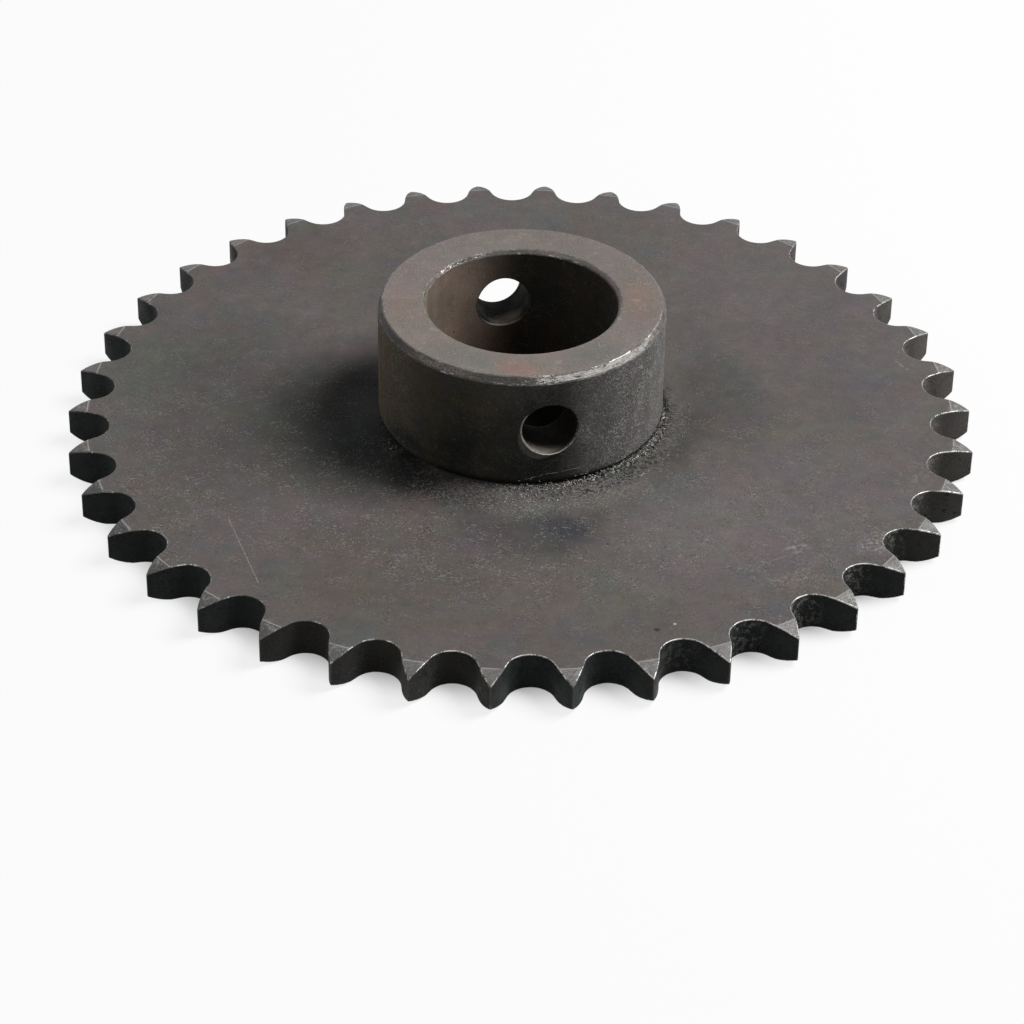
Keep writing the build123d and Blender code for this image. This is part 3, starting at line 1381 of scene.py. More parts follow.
HOLE_LIP = Steel(
    "hole_lip",
    ((0.04, 0.036, 0.031), (0.028, 0.026, 0.023), (0.055, 0.05, 0.044)),
    drift=2,
    specular=0.15,
    stains_and_light=(
        # Painted highlight on the lower lip of the near mouth.
        StainAndLight((31, 187), (2.5, 6.5), (0.46, 0.43, 0.39), 0.85, height=18.2, rise=4.4, ragged=1.6),
        StainAndLight(
            (31, 170), (2.5, 2.5), (0.4, 0.38, 0.35), 0.8, height=22, rise=5, ragged=3,
            crumbs=(0.9, 0.5),
        ),
        # Painted highlight on the lower lip of the far mouth, seen through the bore.
        StainAndLight((22, 0), (2.5, 7), (0.8, 0.75, 0.68), 0.9, height=17.4, rise=3.0, ragged=2),
    ),
)
GRIT = Steel(
    "foot_grit",
    ((0.014, 0.013, 0.011), (0.17, 0.162, 0.142), (0.9, 0.88, 0.83)),
    drift=0.9,
    specular=0.4,
    grain=0.2,
    sides=(
        # Painted shadow: the grit in the hub's shadow, on the left, darker.
        SideTintAndLight((268, 48, 22), (0.006, 0.007, 0.0065), 0.95, 60),
        SideTintAndLight((12, 80, 30), (0.05, 0.046, 0.04), 0.9, 40),
        SideTintAndLight((138, 16, 20), (0.07, 0.067, 0.06), 0.5, 1.6),
    ),
)
FIBRE = Steel(
    "foot_fibre",
    ((0.17, 0.163, 0.148), (0.075, 0.07, 0.062), (0.27, 0.26, 0.24)),
    drift=1.5,
    specular=0.15,
)
# Painted highlight: the burr, which lies in shade, near white.
BURR_HIGHLIGHT = Steel(
    "burr_painted_highlight",
    ((0.74, 0.7, 0.64), (0.5, 0.47, 0.42), (0.86, 0.83, 0.78)),
    drift=1.6,
    specular=0.5,
    roughness=(0.3, 0.5),
    sides=(SideTintAndLight((167, 5, 6), (0.09, 0.085, 0.077), 0.9, 1.2),),
)
WELD_METAL = Steel(
    "weld_metal",
    ((0.16, 0.155, 0.15), (0.12, 0.1, 0.08), (0.08, 0.09, 0.12)),
    drift=4,
    specular=0.4,
    roughness=(0.3, 0.5),
    metallic=0.5,
    relief=0.05,
)


# ------------------------------------------------------------------------------ toothed plate
class PlateFace(Enum):
    """Slots of the plate's faces."""

    FLAT = 0
    EDGE = 1
    GAP = 2
    SIDE = 3
    TIP = 4


PLATE_FINISHES = (PLATE_FACE, PLATE_EDGE, GAP_WALL, TOOTH_SIDE, TIP_CORNER)


@dataclass(frozen=True)
class ToothForm:
    """Sizes of the tooth form, and the arcs that follow from them."""

    chain_pitch: float = 15.875 * MM
    roller_diameter: float = 10.16 * MM
    teeth: int = 38
    seat_clearance: float = 0.05 * MM
    seating_angle: float = 137.6
    flank_radius: float = 20.0 * MM
    tip_height: float = 4.2 * MM
    tip_edge_radius: float = 0.3 * MM
    clocking: float = 0.6
    relief_length: float = 4.4 * MM
    relief_depth: float = 1.4 * MM
    relief_radius: float = 14.0 * MM

    @property
    def step(self) -> float:
        """Degrees from one tooth to the next."""
        return 360 / self.teeth

    @property
    def pitch_radius(self) -> float:
        """Radius of the circle through the roller centres."""
        return self.chain_pitch / 2 / math.sin(math.pi / self.teeth)

    @property
    def seat_radius(self) -> float:
        """Radius of the concave seat."""
        return self.roller_diameter / 2 + self.seat_clearance

    @property
    def tip_radius(self) -> float:
        """Radius of the circle round the tips."""
        return self.pitch_radius + self.tip_height

    @property
    def crease_radius(self) -> float:
        """Radius at which the sloped tooth sides start."""
        return self.tip_radius - self.relief_length

    def fall(self, radius: float) -> float:
        """How far a tooth side has fallen at a radius.

        Args:
            radius: distance from the shaft axis.

        Returns:
            The fall below the plate's face.
        """
        if radius <= self.crease_radius:
            return 0.0
        chord = math.hypot(self.relief_length, self.relief_depth)
        lever = math.sqrt(self.relief_radius**2 - (chord / 2) ** 2)
        middle = self.tip_radius - self.relief_length / 2 - lever * self.relief_depth / chord
        level = -self.relief_depth / 2 - lever * self.relief_length / chord
        return -(level + math.sqrt(self.relief_radius**2 - (radius - middle) ** 2))


@dataclass
class ToothedPlate:
    """The plate: one half tooth is drawn, mirrored, copied round, joined and worn along its edges.

    The steps are the segments of the arcs: seat, low and high flank, tip corner, hub hole.
    """

    stands_for: str = "toothed_plate"
    slot: str = "plate_steel"
    form: ToothForm = field(default_factory=ToothForm)
    thickness: float = PLATE_TOP * MM
    hole_radius: float = 27.05 * MM
    groove: float = 3.2 * MM
    worn_edge: float = 0.22 * MM
    worn_steps: int = 2
    sharp: float = 40.0
    tip_band: float = 0.3 * MM
    crease_band: float = 0.06 * MM
    steps: tuple[int, ...] = (9, 2, 5, 3, 3)

    def build(self) -> Thing:
        """Model the plate and dress it.

        Returns:
            The piece, with slots for its faces, worn edges, gap walls and tooth sides.
        """
        half = self._half_tooth()
        Bench.apply(half, "MIRROR", use_axis=(True, False, False), merge_threshold=MERGE)
        form = self.form
        turns = [-form.clocking - form.step * (number + 0.5) for number in range(form.teeth)]
        teeth = Bench.copies(half, turns)
        Bench.drop(half)
        plate = Bench.join(teeth, "toothed_plate_dressed")
        Bench.weld(plate)
        self._cut_groove(plate)
        Bench.paint(plate, *PLATE_FINISHES)
        self._wear_edges(plate)
        return plate

    def _half_tooth(self) -> Thing:
        """Draw half of one tooth with its share of the plate, from the axis of a gap to its tip.

        Returns:
            The half tooth, open where it meets its neighbours.
        """
        form = self.form
        half_step = form.step / 2
        half_seat = math.radians(form.seating_angle / 2)
        to_gap = Matrix.Rotation(-math.radians(half_step), 3, "Z")
        towards = to_gap @ Vector((-math.sin(half_seat), -math.cos(half_seat), 0))
        seat = polar(form.pitch_radius, half_step)
        foot = seat + towards * form.seat_radius
        flank = seat + towards * (form.seat_radius + form.flank_radius)

        from_axis = form.tip_radius - form.tip_edge_radius
        from_flank = form.flank_radius - form.tip_edge_radius
        reach = flank.length
        opening = math.acos((reach**2 + from_axis**2 - from_flank**2) / (2 * reach * from_axis))
        corner_turn = math.degrees(math.atan2(flank.x, flank.y) + opening)
        corner = polar(from_axis, corner_turn)
        shoulder = flank + (corner - flank).normalized() * form.flank_radius
        rise = math.sqrt(form.tip_edge_radius**2 - corner.x**2)
        tip = Vector((0, corner.y + rise, 0))
        crease = flank.copy()
        crease.y = form.crease_radius
        crease.x += math.sqrt(form.flank_radius**2 - (crease.y - flank.y) ** 2)

        def between(centre: Vector, start: Vector, end: Vector) -> float:
            """Degrees from start to end about a centre, anticlockwise."""
            first, last = (start - centre).to_2d(), (end - centre).to_2d()
            return -math.degrees(first.angle_signed(last))

        piece = Bench.point("half_tooth", polar(form.pitch_radius - form.seat_radius, half_step))
        at_seat, low_flank, high_flank, at_tip, at_hole = self.steps
        Bench.spin(seat, -form.seating_angle / 2, at_seat)
        Bench.spin(flank, between(flank, foot, crease), low_flank)
        Bench.spin(flank, between(flank, crease, shoulder), high_flank)
        Bench.spin(corner, between(corner, shoulder, tip), at_tip)
        Bench.polyline([tip, Vector((0, self.hole_radius, 0))])
        Bench.spin(Vector(), -half_step, at_hole)
        bpy.ops.mesh.select_all(action="SELECT")
        bpy.ops.mesh.edge_face_add()
        bpy.ops.transform.translate(value=(0, 0, self.thickness))
        for row in self._rows(piece):
            bpy.ops.mesh.select_all(action="SELECT")
            bpy.ops.mesh.bisect(plane_co=(0, row, 0), plane_no=(0, 1, 0), threshold=1e-7)
        bpy.ops.mesh.select_all(action="SELECT")
        down = {"value": (0, 0, -self.thickness)}
        bpy.ops.mesh.extrude_region_move(TRANSFORM_OT_translate=down)
        self._slope_sides(piece)
        self._open_joints(piece)
        Bench.close()
        return piece

    def _rows(self, piece: Thing) -> list[float]:
        """Distances from the shaft of the flank's points above the crease, without the corner's.

        Args:
            piece: the flat half tooth, open for edits.

        Returns:
            The distances, along the tooth.
        """
        mesh = bmesh.from_edit_mesh(piece.data)
        low = self.form.crease_radius - 0.001 * MM
        high = self.form.tip_radius - self.form.tip_edge_radius * 0.9
        return sorted({round(v.co.y, 8) for v in mesh.verts if low < v.co.y < high})

    def _slope_sides(self, piece: Thing) -> None:
        """Lower the tooth sides towards the tip, on both faces.

        Args:
            piece: the half tooth, open for edits.
        """

        def radius_at(point: bmesh.types.BMVert, level: float) -> float:
            """Rounded radius of a point at a level, and 0 for any other point."""
            return round(point.co.xy.length, 7) if abs(point.co.z - level) < NEAR else 0.0

        for level, sign in ((self.thickness, -1), (0.0, 1)):
            points = bmesh.from_edit_mesh(piece.data).verts
            radii = {radius_at(point, level) for point in points}
            for radius in sorted(r for r in radii if r > self.form.crease_radius):
                Bench.pick(piece, Part.POINT, lambda v: radius_at(v, level) == radius)
                bpy.ops.transform.translate(value=(0, 0, sign * self.form.fall(radius)))

    def _open_joints(self, piece: Thing) -> None:
        """Delete the walls where the half tooth meets its neighbours.

        Args:
            piece: the half tooth, open for edits.
        """
        across = polar(1, 90 + self.form.step / 2)

        def on_joint(face: bmesh.types.BMFace) -> bool:
            """Whether a face lies in the tooth's middle plane or in the gap's."""
            middle, upright = face.calc_center_median(), abs(face.normal.z) < 0.5
            return upright and (abs(middle.x) < NEAR or abs(middle.dot(across)) < NEAR)

        Bench.pick(piece, Part.FACE, on_joint)
        bpy.ops.mesh.delete(type="FACE")

    def _cut_groove(self, plate: Thing) -> None:
        """Chamfer the hole at the back for the weld.

        Args:
            plate: the joined plate.
        """
        Bench.edit(plate)
        outside = self.hole_radius * 1.001

        def at_hole(edge: bmesh.types.BMEdge) -> bool:
            """Whether an edge lies on the hole's rim at the back."""
            return all(v.co.xy.length < outside and abs(v.co.z) < NEAR for v in edge.verts)

        Bench.pick(plate, Part.EDGE, at_hole)
        Bench.bevel(self.groove, 1)
        Bench.close()

    def _kind_of(self, face: bmesh.types.BMFace) -> PlateFace:
        """Tell the kind of a face by where it lies and which way it looks.

        Args:
            face: a face of the plate before its edges are worn.

        Returns:
            Its kind.
        """
        radius = face.calc_center_median().xy.length
        if abs(face.normal.z) < 0.3:
            at_tip = radius > self.form.tip_radius - self.tip_band
            return PlateFace.TIP if at_tip else PlateFace.GAP
        return PlateFace.SIDE if radius > self.form.crease_radius else PlateFace.FLAT

    def _wear_edges(self, plate: Thing) -> None:
        """Give the faces their slots, and round the outline's edges.

        Args:
            plate: the joined plate, with its finishes.
        """
        Bench.edit(plate)
        for face in bmesh.from_edit_mesh(plate.data).faces:
            face.material_index = self._kind_of(face).value
            face.smooth = True
        bmesh.update_edit_mesh(plate.data)
        sharp = math.radians(self.sharp)

        def is_edge(edge: bmesh.types.BMEdge) -> bool:
            """Whether an edge is sharp."""
            return len(edge.link_faces) == 2 and edge.calc_face_angle() > sharp

        def at_crease(edge: bmesh.types.BMEdge) -> bool:
            """Tell an edge where the tooth sides start to slope.

            Args:
                edge: the edge.

            Returns:
                Whether it lies there, between flat faces.
            """
            off = [abs(v.co.xy.length - self.form.crease_radius) for v in edge.verts]
            flat = all(abs(face.normal.z) > 0.9 for face in edge.link_faces)
            return flat and max(off) < self.crease_band

        Bench.pick(plate, Part.EDGE, is_edge)
        Bench.bevel(self.worn_edge, self.worn_steps, PlateFace.EDGE.value)
        Bench.pick(plate, Part.EDGE, at_crease)
        bpy.ops.mesh.mark_sharp()
        Bench.close()
        Bench.even(plate)


# ------------------------------------------------------------------------------ hub
class HubFace(Enum):
    """Slots of the hub's faces."""

    SIDE = 0
    RIM = 1
    NOSE = 2
    MOUTH = 3
    BORE = 4
    HOLE = 5
    LIP = 6
    CORNER = 7


HUB_FINISHES = (
    HUB_SIDE, HUB_RIM, NOSE_FACE, BORE_MOUTH, BORE_WALL, CROSS_HOLE_WALL, HOLE_LIP, HUB_CORNER,
)


@dataclass
class Hub:
    """The hub: its half section is drawn, spun round the shaft axis, drilled and worn."""

    stands_for: str = "hub"
    slot: str = "hub_steel"
    radius: float = HUB_RADIUS * MM
    neck_radius: float = 27.0 * MM
    bore_radius: float = 21.0 * MM
    bore_chamfer: float = 0.8 * MM
    shoulder: float = PLATE_TOP * MM
    nose: float = NOSE_TOP * MM
    nose_chamfer: tuple[float, float] = (0.9 * MM, 1.6 * MM)
    foot_chamfer: tuple[float, float] = (0.8 * MM, 1.2 * MM)
    hole_radius: float = 6.0 * MM
    hole_height: float = HOLE_HEIGHT * MM
    worn_edge: float = 0.28 * MM
    worn_hole: float = 0.35 * MM
    worn_steps: int = 3
    sharp: float = 15.0
    smooth: float = 32.0
    end_band: float = 1.2 * MM
    foot_band: float = 3.0 * MM
    hole_merge: float = 0.16 * MM
    segments: int = 140
    hole_segments: int = 72

    def build(self) -> Thing:
        """Model the hub.

        Returns:
            The piece, with a slot for each kind of its faces.
        """
        hub = self._turn()
        self._drill(hub)
        self._sort_faces(hub)
        self._wear_hole(hub)
        Bench.take(hub)
        bpy.ops.object.shade_smooth_by_angle(angle=math.radians(self.smooth))
        Bench.even(hub)
        return hub

    def _turn(self) -> Thing:
        """Turn the body and paint it.

        Returns:
            The turned body with its outer corners worn round.
        """
        mouth = self.bore_radius + self.bore_chamfer
        section = [
            (mouth, 0.0),
            (self.neck_radius, 0.0),
            (self.neck_radius, self.shoulder),
            (self.radius - self.foot_chamfer[0], self.shoulder),
            (self.radius, self.shoulder + self.foot_chamfer[1]),
            (self.radius, self.nose - self.nose_chamfer[1]),
            (self.radius - self.nose_chamfer[0], self.nose),
            (mouth, self.nose),
            (self.bore_radius, self.nose - self.bore_chamfer),
            (self.bore_radius, self.bore_chamfer),
        ]
        piece = Bench.turned("hub_dressed", section, self.segments)
        Bench.paint(piece, *HUB_FINISHES)
        Bench.edit(piece)
        above, sharp = self.shoulder + 0.1 * MM, math.radians(self.sharp)

        def at_corner(edge: bmesh.types.BMEdge) -> bool:
            """Whether an edge runs level round a corner above the foot."""
            low, high = sorted(v.co.z for v in edge.verts)
            return low > above and high - low < NEAR and edge.calc_face_angle() > sharp

        Bench.pick(piece, Part.EDGE, at_corner)
        Bench.bevel(self.worn_edge, self.worn_steps, HubFace.CORNER.value)
        Bench.close()
        return piece

    def _drill(self, hub: Thing) -> None:
        """Drill the cross hole through both walls.

        Args:
            hub: the turned body.
        """
        Bench.clear()
        bpy.ops.mesh.primitive_cylinder_add(
            vertices=self.hole_segments,
            radius=self.hole_radius,
            depth=2.4 * self.radius,
            location=(0, 0, self.hole_height),
            rotation=(math.radians(90), 0, 0),
        )
        drill = Bench.settle("drill")
        Bench.apply(hub, "BOOLEAN", object=drill, operation="DIFFERENCE", solver="EXACT")
        Bench.drop(drill)

    def _sort_faces(self, hub: Thing) -> None:
        """Give each face the slot of its kind.

        Args:
            hub: the drilled body.
        """
        for face in hub.data.polygons:
            at_foot = face.center.z < self.shoulder + self.foot_band
            if at_foot or face.material_index != HubFace.CORNER.value:
                face.material_index = self._kind_of(face).value

    def _kind_of(self, face: bpy.types.MeshPolygon) -> HubFace:
        """Tell the kind of a face by where it lies and which way it looks.

        Args:
            face: a face of the drilled body.

        Returns:
            Its kind.
        """
        middle, normal = face.center, face.normal
        from_hole = (middle - Vector((0, 0, self.hole_height))).xz.length
        outwards = abs(normal.dot(Vector((middle.x, middle.y, 0)).normalized()))
        if from_hole < self.hole_radius * 1.01 and outwards < 0.9 and abs(normal.y) < 0.2:
            return HubFace.HOLE
        radius = middle.xy.length
        if middle.z > self.nose - self.nose_chamfer[1]:
            if normal.z > 0.98:
                return HubFace.NOSE
            if radius > self.radius - self.end_band:
                return HubFace.RIM
            if radius < self.bore_radius + self.end_band:
                return HubFace.MOUTH
        return HubFace.BORE if radius < self.bore_radius + 0.1 * MM else HubFace.SIDE

    def _wear_hole(self, hub: Thing) -> None:
        """Round the rims of the cross hole.

        Args:
            hub: the drilled body.
        """
        Bench.edit(hub)

        def on_rim(edge: bmesh.types.BMEdge) -> bool:
            """Whether an edge joins the hole's wall to another face."""
            kinds = [face.material_index == HubFace.HOLE.value for face in edge.link_faces]
            return len(kinds) == 2 and kinds[0] != kinds[1]

        Bench.pick(hub, Part.EDGE, on_rim)
        bpy.ops.mesh.remove_doubles(threshold=self.hole_merge)
        Bench.pick(hub, Part.EDGE, on_rim)
        Bench.bevel(self.worn_hole, self.worn_steps, HubFace.LIP.value)
        Bench.close()


# ------------------------------------------------------------------------------ weld
@dataclass
class WeldBead:
    """The weld at the back: overlapping ripples laid round the groove on a ring of filler.

    The middle is the radius on which the ripples lie. The filler's corners are radii and heights
    in millimetres.
    """

    stands_for: str = "weld_ring"
    slot: str = "weld_metal"
    middle: float = 28.45 * MM
    ripples: int = 74
    half_length: float = 1.35 * MM
    half_width: float = 1.45 * MM
    half_height: float = 0.62 * MM
    level: float = 0.78 * MM
    lean: float = 12.0
    uneven: float = 0.25
    voxel: float = 0.24 * MM
    filler: tuple[tuple[float, float], ...] = ((27.02, 0.5), (29.7, 0.5), (27.02, 3.1))
    filler_segments: int = 120
    seed: int = 5

    def build(self) -> Thing:
        """Model the bead.

        Returns:
            The bead, one closed skin.
        """
        ripple = self._ripple()
        chance = random.Random(self.seed)
        step = 360 / self.ripples
        shares = (chance.uniform(-self.uneven, self.uneven) for _ in range(self.ripples))
        turns = [step * number + share * step for number, share in enumerate(shares)]
        pieces = Bench.copies(ripple, turns)
        Bench.drop(ripple)
        section = [(radius * MM, height * MM) for radius, height in self.filler]
        filler = Bench.turned("filler", section, self.filler_segments)
        bead = Bench.join([filler, *pieces], "weld_bead")
        Bench.apply(bead, "REMESH", mode="VOXEL", voxel_size=self.voxel)
        Bench.apply(bead, "SMOOTH", factor=0.5, iterations=2)
        Bench.take(bead)
        bpy.ops.object.shade_smooth()
        Bench.paint(bead, WELD_METAL)
        return bead

    def _ripple(self) -> Thing:
        """Model one ripple: a flattened drop that leans back on the one before it.

        Returns:
            The ripple, at the first place of the round.
        """
        Bench.clear()
        bpy.ops.mesh.primitive_uv_sphere_add(
            segments=16,
            ring_count=10,
            radius=1.0,
            location=(0, self.middle, self.level),
            rotation=(0, math.radians(self.lean), 0),
            scale=(self.half_length, self.half_width, self.half_height),
        )
        return Bench.settle("ripple")


# ------------------------------------------------------------------------------ burr and grit
@dataclass
class HoleBurr:
    """The thin raised burr round the near mouth of the cross hole, tilted out of one low side."""

    slot: str = "hub_steel"
    hub_radius: float = HUB_RADIUS * MM
    height: float = HOLE_HEIGHT * MM
    radius: float = 6.34 * MM
    thickness: float = 0.15 * MM
    sunk: float = 0.13 * MM
    tilt: tuple[float, float, float] = (-1.7, 0.0, 1.1)

    def build(self) -> Thing:
        """Model the burr.

        Returns:
            The burr, bent to the hub's side.
        """
        Bench.clear()
        bpy.ops.mesh.primitive_torus_add(
            major_segments=96,
            minor_segments=8,
            major_radius=self.radius,
            minor_radius=self.thickness,
            rotation=(math.radians(90), 0, 0),
        )
        burr = Bench.settle("hole_burr")
        bend = 2 * (self.radius + self.thickness) / self.hub_radius
        Bench.apply(burr, "SIMPLE_DEFORM", deform_method="BEND", deform_axis="Z", angle=bend)
        Bench.take(burr)
        burr.location = (0, self.sunk - self.hub_radius, self.height)
        burr.rotation_euler = [math.radians(angle) for angle in self.tilt]
        bpy.ops.object.transform_apply(location=True, rotation=True, scale=False)
        bpy.ops.object.shade_smooth()
        Bench.paint(burr, BURR_HIGHLIGHT)
        return burr


@dataclass(frozen=True)
class Grade:
    """A grade of grit: its mean way out, size, share on the hub's side, and longest sliver."""

    out: float
    size: float
    climbing: float
    longest: float


FINE = Grade(1.4, 1.0, 0.03, 2.2)
COARSE = Grade(1.7, 1.5, 0.2, 2.8)


@dataclass
class FootGrit:
    """Crumbs and fibres of dried grit that stick in the corner between hub and plate.

    What is laid is a stretch from bearing to bearing, a number of clusters and their grade. A
    fibre's ends are a radius, a bearing and a height over the plate, in millimetres.
    """

    slot: str = "hub_steel"
    foot: float = HUB_RADIUS * MM
    face: float = PLATE_TOP * MM
    clusters: int = 6
    crumbs: int = 20
    spread: float = 6.0
    farthest: float = 6.0
    near: float = 2.0 * MM
    shrink: float = 0.6
    on_side: float = 0.06 * MM
    climb: float = 0.8
    highest: float = 2.6
    slivers: float = 0.45
    seed: int = 11
    laid: tuple[tuple[float, float, int, Grade], ...] = (
        (96, 128, 14, COARSE),
        (122, 160, 24, COARSE),
        (156, 206, 26, FINE),
        (158, 190, 6, COARSE),
        (206, 226, 3, FINE),
        (240, 302, 2, FINE),
        (302, 456, 16, FINE),
    )
    fibres: tuple[tuple[Place, Place], ...] = (
        ((33.0, 133.5, 0.35), (32.5, 117.5, 0.9)),
        ((31.62, 190.4, 1.7), (31.66, 182.0, 3.0)),
        ((31.66, 182.3, 3.0), (31.66, 176.0, 3.15)),
        ((31.66, 176.3, 3.15), (31.64, 166.7, 3.3)),
        ((32.1, 147.0, 0.6), (34.0, 151.2, 0.25)),
        ((34.8, 156.0, 0.2), (36.2, 150.0, 0.2)),
        ((33.4, 139.0, 0.25), (35.6, 134.0, 0.15)),
        ((33.2, 171.0, 0.2), (35.5, 174.0, 0.15)),
        ((33.5, 214.0, 0.2), (34.6, 209.0, 0.15)),
    )

    def build(self) -> Thing:
        """Model the grit.

        Returns:
            The grit, all of it in one piece.
        """
        chance = random.Random(self.seed)
        crumb = self._crumb()
        clusters = {
            grade: [self._cluster(crumb, chance, grade) for _ in range(self.clusters)]
            for grade in (FINE, COARSE)
        }
        pieces = [self._fibre(crumb, start, end) for start, end in self.fibres]
        for low, high, number, grade in self.laid:
            for _ in range(number):
                pieces += Bench.copies(chance.choice(clusters[grade]), [-chance.uniform(low, high)])
        Bench.drop(crumb, *clusters[FINE], *clusters[COARSE])
        return Bench.join(pieces, "foot_grit")

    def _crumb(self) -> Thing:
        """Model one crumb: a small sharp sliver.

        Returns:
            The crumb, at the origin.
        """
        Bench.clear()
        sliver = (1, 0.34, 0.3)
        bpy.ops.mesh.primitive_ico_sphere_add(subdivisions=1, radius=0.5 * MM, scale=sliver)
        crumb = Bench.settle("crumb")
        Bench.paint(crumb, GRIT)
        return crumb

    def _fibre(self, crumb: Thing, start: Place, end: Place) -> Thing:
        """Draw a copy of the crumb out into a fibre.

        Args:
            crumb: the crumb to copy.
            start: one end.
            end: the other end.

        Returns:
            The fibre.
        """
        first, last = (polar(r * MM, turn, self.face + rise * MM) for r, turn, rise in (start, end))
        along = last - first
        fibre = Bench.copy(crumb)
        fibre.scale = (along.length / MM, 0.5, 0.55)
        fibre.rotation_euler = along.to_track_quat("X", "Z").to_euler()
        fibre.location = (first + last) / 2
        bpy.ops.object.transform_apply(location=True, rotation=True, scale=True)
        fibre.data.materials[0] = bpy.data.materials.get(FIBRE.name) or FIBRE.make()
        return fibre

    def _cluster(self, crumb: Thing, chance: random.Random, grade: Grade) -> Thing:
        """Scatter copies of the crumb over a short stretch of the foot at bearing zero.

        Args:
            crumb: the crumb to copy.
            chance: seeded chance.
            grade: the grade of the grit.

        Returns:
            The cluster.
        """
        made = []
        for _ in range(self.crumbs):
            copy = Bench.copy(crumb)
            out = min(chance.expovariate(1 / grade.out), self.farthest) * MM
            size = chance.uniform(0.3, 0.85) * grade.size
            size *= 1.0 if out < self.near else self.shrink
            rise = chance.uniform(0.0, 0.3) * size * MM
            if chance.random() < grade.climbing:
                out, rise = self.on_side, min(chance.expovariate(1 / self.climb), self.highest) * MM
            turn = chance.uniform(-self.spread, self.spread)
            copy.location = polar(self.foot + out, turn, self.face + rise)
            tilts = (chance.uniform(-0.4, 0.4), chance.gauss(0, 0.5), chance.uniform(0, math.tau))
            copy.rotation_euler = tilts
            if chance.random() < self.slivers:
                copy.scale = (chance.uniform(1.2, grade.longest), 0.36, 0.4)
            else:
                length, width = chance.uniform(0.7, 1.4), chance.uniform(0.8, 1.6)
                copy.scale = (size * length, size * width, size)
            bpy.ops.object.transform_apply(location=True, rotation=True, scale=True)
            made.append(copy)
        return Bench.join(made, "cluster")


# ------------------------------------------------------------------------------ studio
def put(thing: Thing) -> Thing:
    """Link a thing to the scene, and return it."""
    bpy.context.scene.collection.objects.link(thing)
    return thing


@dataclass(frozen=True)
class Viewpoint:
    """The camera: it stands across, above and away, in units, from the axis at the datum."""

    lens: float = 124.02
    sensor: float = 36.0
    elevation: float = 35.11
    swing: float = 11.784
    roll: float = -0.9146
    across: float = 0.1187
    above: float = 1.4904
    away: float = 49.4158
    unit: float = 15.875 * MM
    datum: float = PLATE_TOP * MM
    sight: float = 20.0

    def place(self) -> Thing:
        """Set up the camera.

        Returns:
            The camera.
        """
        rise, roll = math.radians(self.elevation), math.radians(self.roll)
        right = Vector((1, 0, 0))
        up = Vector((0, math.sin(rise), math.cos(rise)))
        ahead = Vector((0, math.cos(rise), -math.sin(rise)))
        right, up = (
            right * math.cos(roll) - up * math.sin(roll),
            right * math.sin(roll) + up * math.cos(roll),
        )
        pose = Matrix((right, up, -ahead)).transposed().to_4x4()
        offset = right * self.across + up * self.above + ahead * self.away
        pose.translation = -offset * self.unit
        turn = Matrix.Rotation(-math.radians(self.swing), 4, "Z")
        data = bpy.data.cameras.new("viewpoint")
        data.lens = self.lens
        data.sensor_width = self.sensor
        data.sensor_fit = "HORIZONTAL"
        data.clip_end = self.sight
        camera = put(bpy.data.objects.new("viewpoint", data))
        camera.matrix_world = Matrix.Translation((0, 0, self.datum)) @ turn @ pose
        bpy.context.scene.camera = camera
        return camera


@dataclass(frozen=True)
class Softbox:
    """A soft lamp that faces the object. Its level is the white that it gives a level floor."""

    name: str
    bearing: float
    height: float
    distance: float
    size: float
    level: float

    def hang(self) -> Thing:
        """Set up the lamp.

        Returns:
            The lamp.
        """
        bearing, height = math.radians(self.bearing), math.radians(self.height)
        level = math.cos(height)
        away = Vector((math.sin(bearing) * level, -math.cos(bearing) * level, math.sin(height)))
        data = bpy.data.lights.new(self.name, "AREA")
        data.shape = "DISK"
        data.size = self.size
        data.energy = self.level * (math.pi * self.distance) ** 2 / math.sin(height)
        lamp = put(bpy.data.objects.new(self.name, data))
        lamp.location = away * self.distance
        lamp.rotation_euler = away.to_track_quat("Z", "Y").to_euler()
        return lamp


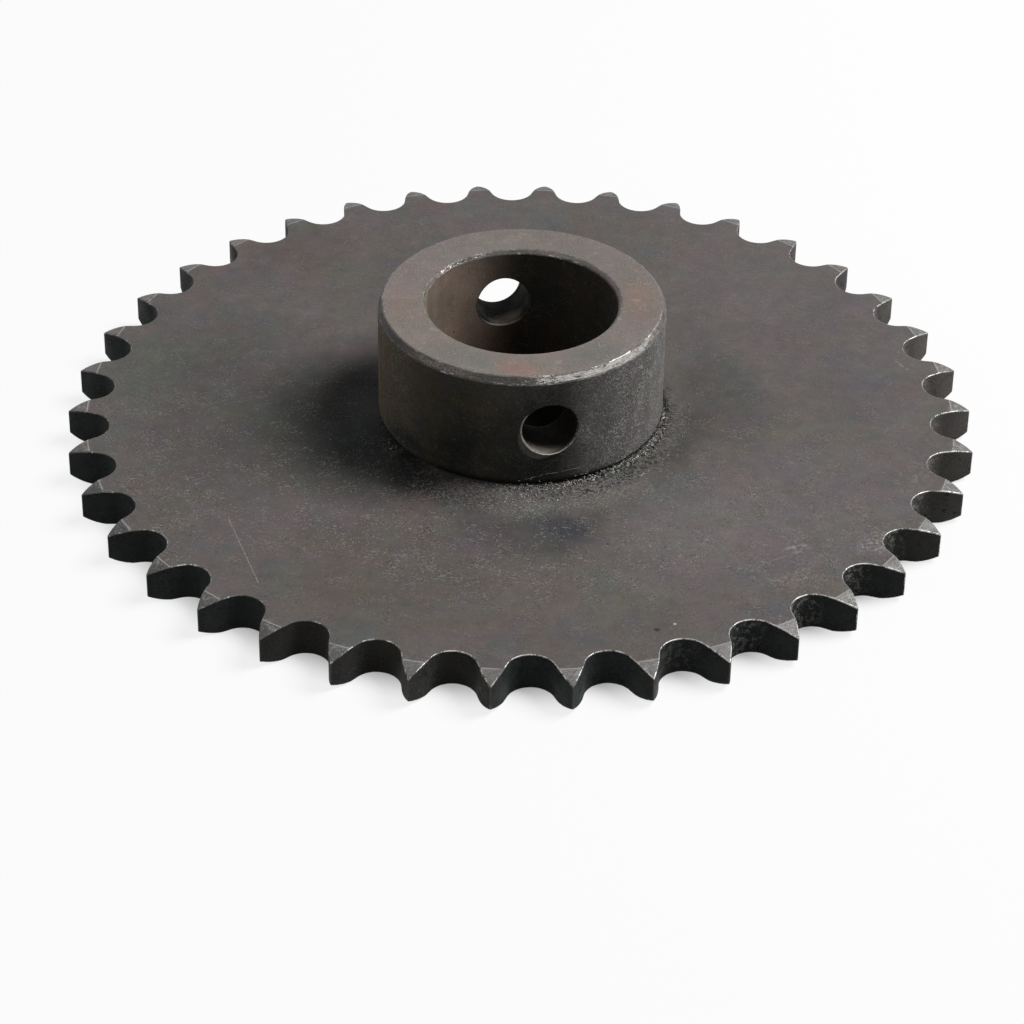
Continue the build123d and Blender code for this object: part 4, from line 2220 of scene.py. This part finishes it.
@dataclass
class Studio:
    """Pale floor, soft lamps, a faint even light from all round, and a glowing card that paints
    light.

    The ground inside the bore is painted shade: dark, fading to white between its two radii. The
    glow, for rays that see the floor, starts at the first of its own radii and is full at the
    second.
    """

    floor_size: float = 60.0
    floor_sunk: float = 0.02 * MM
    floor_white: float = 0.93
    floor_glow: float = 0.85
    glow_level: float = 0.98
    glow_radii: tuple[float, float] = (84.0, 100.0)
    # Painted shade: the floor dark inside the bore.
    painted_shade_in_bore: float = 0.02
    painted_shade_radii: tuple[float, float] = (22.0, 34.0)
    floor_bounce: float = 0.3
    # A glowing card: painted light in the far mouth of the cross hole.
    glowing_card_radius: float = 5.7 * MM
    glowing_card_place: Place = (0, 30.4 * MM, HOLE_HEIGHT * MM)
    ambient: float = 0.09
    lamps: tuple[Softbox, ...] = (
        Softbox("window", bearing=91.0, height=52.0, distance=1.7, size=0.95, level=0.95),
        Softbox("reflector", bearing=-70.0, height=38.0, distance=1.9, size=1.4, level=0.05),
    )

    def build(self) -> None:
        """Set up the floor, the lamps and the surroundings."""
        Bench.clear()
        bpy.ops.mesh.primitive_plane_add(size=self.floor_size, location=(0, 0, -self.floor_sunk))
        floor = Bench.settle("studio_floor")
        self._paint_floor(floor)
        # Painted light: a glowing card in the far mouth of the cross hole.
        self._glowing_card()
        for lamp in self.lamps:
            lamp.hang()
        self._surroundings()

    def _glowing_card(self) -> Thing:
        """Set up a white card that glows in the far mouth of the cross hole, painted light seen
        from the bore alone.

        Returns:
            The card.
        """
        Bench.clear()
        bpy.ops.mesh.primitive_circle_add(
            vertices=48,
            radius=self.glowing_card_radius,
            fill_type="NGON",
            location=self.glowing_card_place,
            rotation=(math.radians(90), 0, 0),
        )
        card = Bench.settle("studio_glowing_card")
        wiring = self._bare(card)
        behind = wiring.node("NewGeometry").outputs["Backfacing"]
        share = wiring.times(self._seen(wiring), wiring.minus(1.0, behind))
        self._glow(wiring, share, wiring.node("BsdfTransparent"))
        return card

    def _bare(self, thing: Thing) -> Wiring:
        """Give a thing an empty material.

        Args:
            thing: the thing, whose name the material takes.

        Returns:
            The material's wiring.
        """
        paint = bpy.data.materials.new(thing.name)
        paint.use_nodes = True
        paint.node_tree.nodes.clear()
        thing.data.materials.append(paint)
        return Wiring(paint.node_tree)

    def _glow(self, wiring: Wiring, share: Feed, below: bpy.types.Node) -> None:
        """Let a share of a surface glow, and finish its material.

        Args:
            wiring: the material's wiring.
            share: how much of the surface glows.
            below: the shader of the rest.
        """
        glow = wiring.node("Emission", {"Color": ONES, "Strength": self.glow_level})
        both = wiring.node("MixShader", {0: share, 1: below.outputs[0], 2: glow.outputs[0]})
        wiring.node("OutputMaterial", {"Surface": both.outputs[0]})

    def _seen(self, wiring: Wiring) -> Socket:
        """Find the rays that see a thing, against those that only light another.

        Args:
            wiring: where the answer is wanted.

        Returns:
            Socket that is 1 for rays that see.
        """
        path = wiring.node("LightPath").outputs
        total: Feed = path["Is Camera Ray"]
        for name in ("Is Glossy Ray", "Is Transmission Ray"):
            total = wiring.maths("MAXIMUM", total, path[name])
        return total

    def _paint_floor(self, floor: Thing) -> None:
        """Matt white, part of it glowing where it is seen, with painted shade, dark, on the ground
        inside the bore.

        Args:
            floor: the floor.
        """
        wiring = self._bare(floor)
        radius = wiring.vectors("LENGTH", wiring.millimetres())
        seen = self._seen(wiring)
        white = wiring.mix(seen, (self.floor_bounce,) * 3, (self.floor_white,) * 3)
        # Painted shade: the ground dark inside the bore.
        outside = wiring.step(radius, *self.painted_shade_radii)
        colour = wiring.mix(outside, (self.painted_shade_in_bore,) * 3, white)
        share = wiring.times(seen, wiring.step(radius, *self.glow_radii))
        matt = wiring.node("BsdfDiffuse", {"Color": colour})
        self._glow(wiring, wiring.times(share, self.floor_glow), matt)

    def _surroundings(self) -> None:
        """White where it is seen, faint where it only lights."""
        world = bpy.data.worlds.new("surroundings")
        bpy.context.scene.world = world
        world.use_nodes = True
        world.node_tree.nodes.clear()
        wiring = Wiring(world.node_tree)
        level = {"Value": self._seen(wiring), "To Min": self.ambient, "To Max": 1.0}
        strength = wiring.node("MapRange", level).outputs["Result"]
        light = wiring.node("Background", {"Color": ONES, "Strength": strength})
        wiring.node("OutputWorld", {"Surface": light.outputs[0]})


def main() -> None:
    """Build the pieces in order, dress them, and set the studio round them."""
    logging.basicConfig(level=logging.INFO, format="%(name)s: %(message)s")
    for leftover in list(bpy.data.objects):
        bpy.data.objects.remove(leftover)
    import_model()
    for sub_assembly in (ToothedPlate(), Hub(), WeldBead(), HoleBurr(), FootGrit()):
        piece = sub_assembly.build()
        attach(piece, "root")
        if hasattr(sub_assembly, "stands_for"):
            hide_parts(sub_assembly.stands_for)
        LOG.info("%s: %d faces", piece.name, len(piece.data.polygons))
    Viewpoint().place()
    Studio().build()
    bpy.context.scene.view_settings.view_transform = "Standard"


if __name__ == "__main__":
    main()
